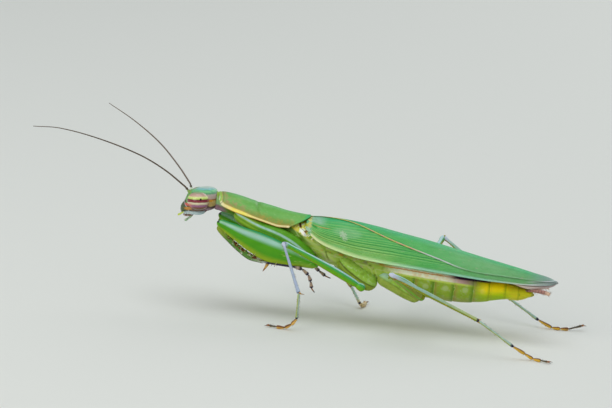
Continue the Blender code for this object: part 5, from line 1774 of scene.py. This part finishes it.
# %% [markdown]
# ## Tail end
# Two ringed, hairy tail feelers stand out beside the tip of the abdomen. Between them lie the small plates
# of the egg-laying tube, which tell that this is a female.

# %% Cerci and tail plates
CERCUS = ((9.22, 0.38, 3.34), (9.70, 0.58, 3.45), (10.30, 0.84, 3.50), (10.85, 1.00, 3.42))
CERCUS_RINGS = 9


def cercus_finish():
    skin = Finish("tail feeler skin", roughness=0.45)
    run, grain = skin.layout("X"), skin.speckle(0.1, 3.0)
    skin.colour = skin.blend(grain, (150, 96, 92), (190, 140, 124))
    skin.paint(skin.gaps(CERCUS_RINGS).rise(0.4, 0.1), (96, 54, 52))
    skin.paint(run.rise(0.74, 0.92), (222, 186, 158))
    skin.paint(run.rise(0.30, 0.0) * 0.8, (84, 50, 52))
    return skin.wear(skin.colour, height=grain, depth=0.01)


def tail_plate_finish():
    skin = Finish("tail plate skin", roughness=0.42)
    colour = skin.blend(skin.speckle(0.15, 3.0), (150, 150, 10), (206, 196, 24))
    return skin.wear(colour, height=skin.speckle(0.05), depth=0.006)


hair_roots, hair_ways, hair_lengths = [], [], []


def hairs(path, radius, count, lengths, lean):
    """Notes hairs that stand on a bar along a path; lean is how far they lie over towards its end."""
    rows = path_rows(path)[0]
    share = rng.uniform(0.05, 0.99, count)
    centre = smooth_rows(rows, share).T
    ahead = unit(smooth_rows(rows, np.minimum(share + 0.02, 1)).T - smooth_rows(rows, share - 0.02).T)
    side = unit(np.cross(ahead, (0.0, 0.0, 1.0)))
    top = np.cross(side, ahead)
    turn = rng.uniform(0.0, math.tau, count)
    out = top * np.cos(turn)[:, None] + side * np.sin(turn)[:, None]
    hair_roots.append(centre + out * radius)
    hair_ways.append(out + ahead * lean)
    hair_lengths.append(rng.uniform(*lengths, count))


cercus_skin = cercus_finish()
for side, sign in SIDES:
    path = [(x, y * sign, z) for x, y, z in CERCUS]
    cercus = tube("tail_feeler_" + side, path, ((0.0, 0.06), (0.3, 0.09), (0.7, 0.14), (1.0, 0.115)),
                  rings=CERCUS_RINGS * 8, sides=20, relief=beaded(CERCUS_RINGS, 0.86, 0.16))
    settle(coat(cercus, cercus_skin), "cercus", "cercus_" + side)
    hairs(path, 0.10, 70, (0.12, 0.28), 0.8)
tail_plates = []
for sign in (1, -1):
    valve = ((9.10, 0.13 * sign, 3.04), (9.50, 0.12 * sign, 3.00), (9.86, 0.07 * sign, 3.08))
    tail_plates.append(tube("valve", valve, ((0.0, 0.11), (0.6, 0.11), (1.0, 0.06)), rings=26, sides=18))
tail_plates.append(tube("tail_shield", ((9.20, 0.0, 3.40), (9.65, 0.0, 3.40), (9.98, 0.0, 3.33)),
                        ((0.0, 0.06), (0.5, 0.06), (1.0, 0.04)), rings=26, sides=24, flat=5.0))
plate_skin = tail_plate_finish()
settle(join("tail_plates", [coat(piece, plate_skin) for piece in tail_plates]), "abdomen")

# %% [markdown]
# Under a lens the legs are downy. Short hairs stand all round the shins of the walking legs and all round
# the feet of all six. They join the longer hairs of the tail feelers in one piece.

# %% Fine hairs
HAIR_LEAN = 0.9
LOWEST_HAIR = 0.16  # lower ones could reach through the floor
HAIR_RADIUS = 0.010
for leg in LEGS:
    knee, ankle = LEGS[leg][2:4]
    hairs((knee, ankle), 0.10, 90, (0.05, 0.13), HAIR_LEAN)
    hairs([ankle, *lowered(leg)], 0.075, 110, (0.06, 0.14), HAIR_LEAN)
for foot in FORE_TARSUS.values():
    hairs(foot, 0.06, 80, (0.05, 0.13), HAIR_LEAN)
roots, ways, lengths = map(np.concatenate, (hair_roots, hair_ways, hair_lengths))
clear = roots[:, 2] > LOWEST_HAIR
down = cones("down", roots[clear], ways[clear], lengths[clear], HAIR_RADIUS, sides=3)
settle(coat(down, hair_brown), "limb")
print(int(clear.sum()), "hairs")

# %% [markdown]
# ## One skin
# Head, trunk and legs are flesh, one unbroken skin in life, so their pieces are joined into one. It stands
# for all the solids of flesh at once.

# %% Join the skin
limbs = [piece for pieces in (*parts.values(), *fore_parts.values()) for piece in pieces]
skin = join("skin", [trunk, capsule, *limbs])
LEG_PARTS = ("coxa", "femur", "tibia", "tarsus")
flesh = ["head", "neck", "prosternum", "thorax", "abdomen"]
flesh += [leg + "_" + part for leg in (*LEGS, "foreleg_left", "foreleg_right") for part in LEG_PARTS]
settle(skin, "green_skin", *flesh)

# %% [markdown]
# ## Measure
# Last, the size of the finished animal is measured beside the size of its solids, and both are kept.

# %% Measure and finish
visual_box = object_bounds()
boxes = {"cad": [list(map(float, corner)) for corner in cad_box],
         "visual": [list(map(float, corner)) for corner in visual_box]}
for name, (low, high) in boxes.items():
    print(name, "box:", [round(1000 * (top - bottom), 2) for bottom, top in zip(low, high)], "mm")
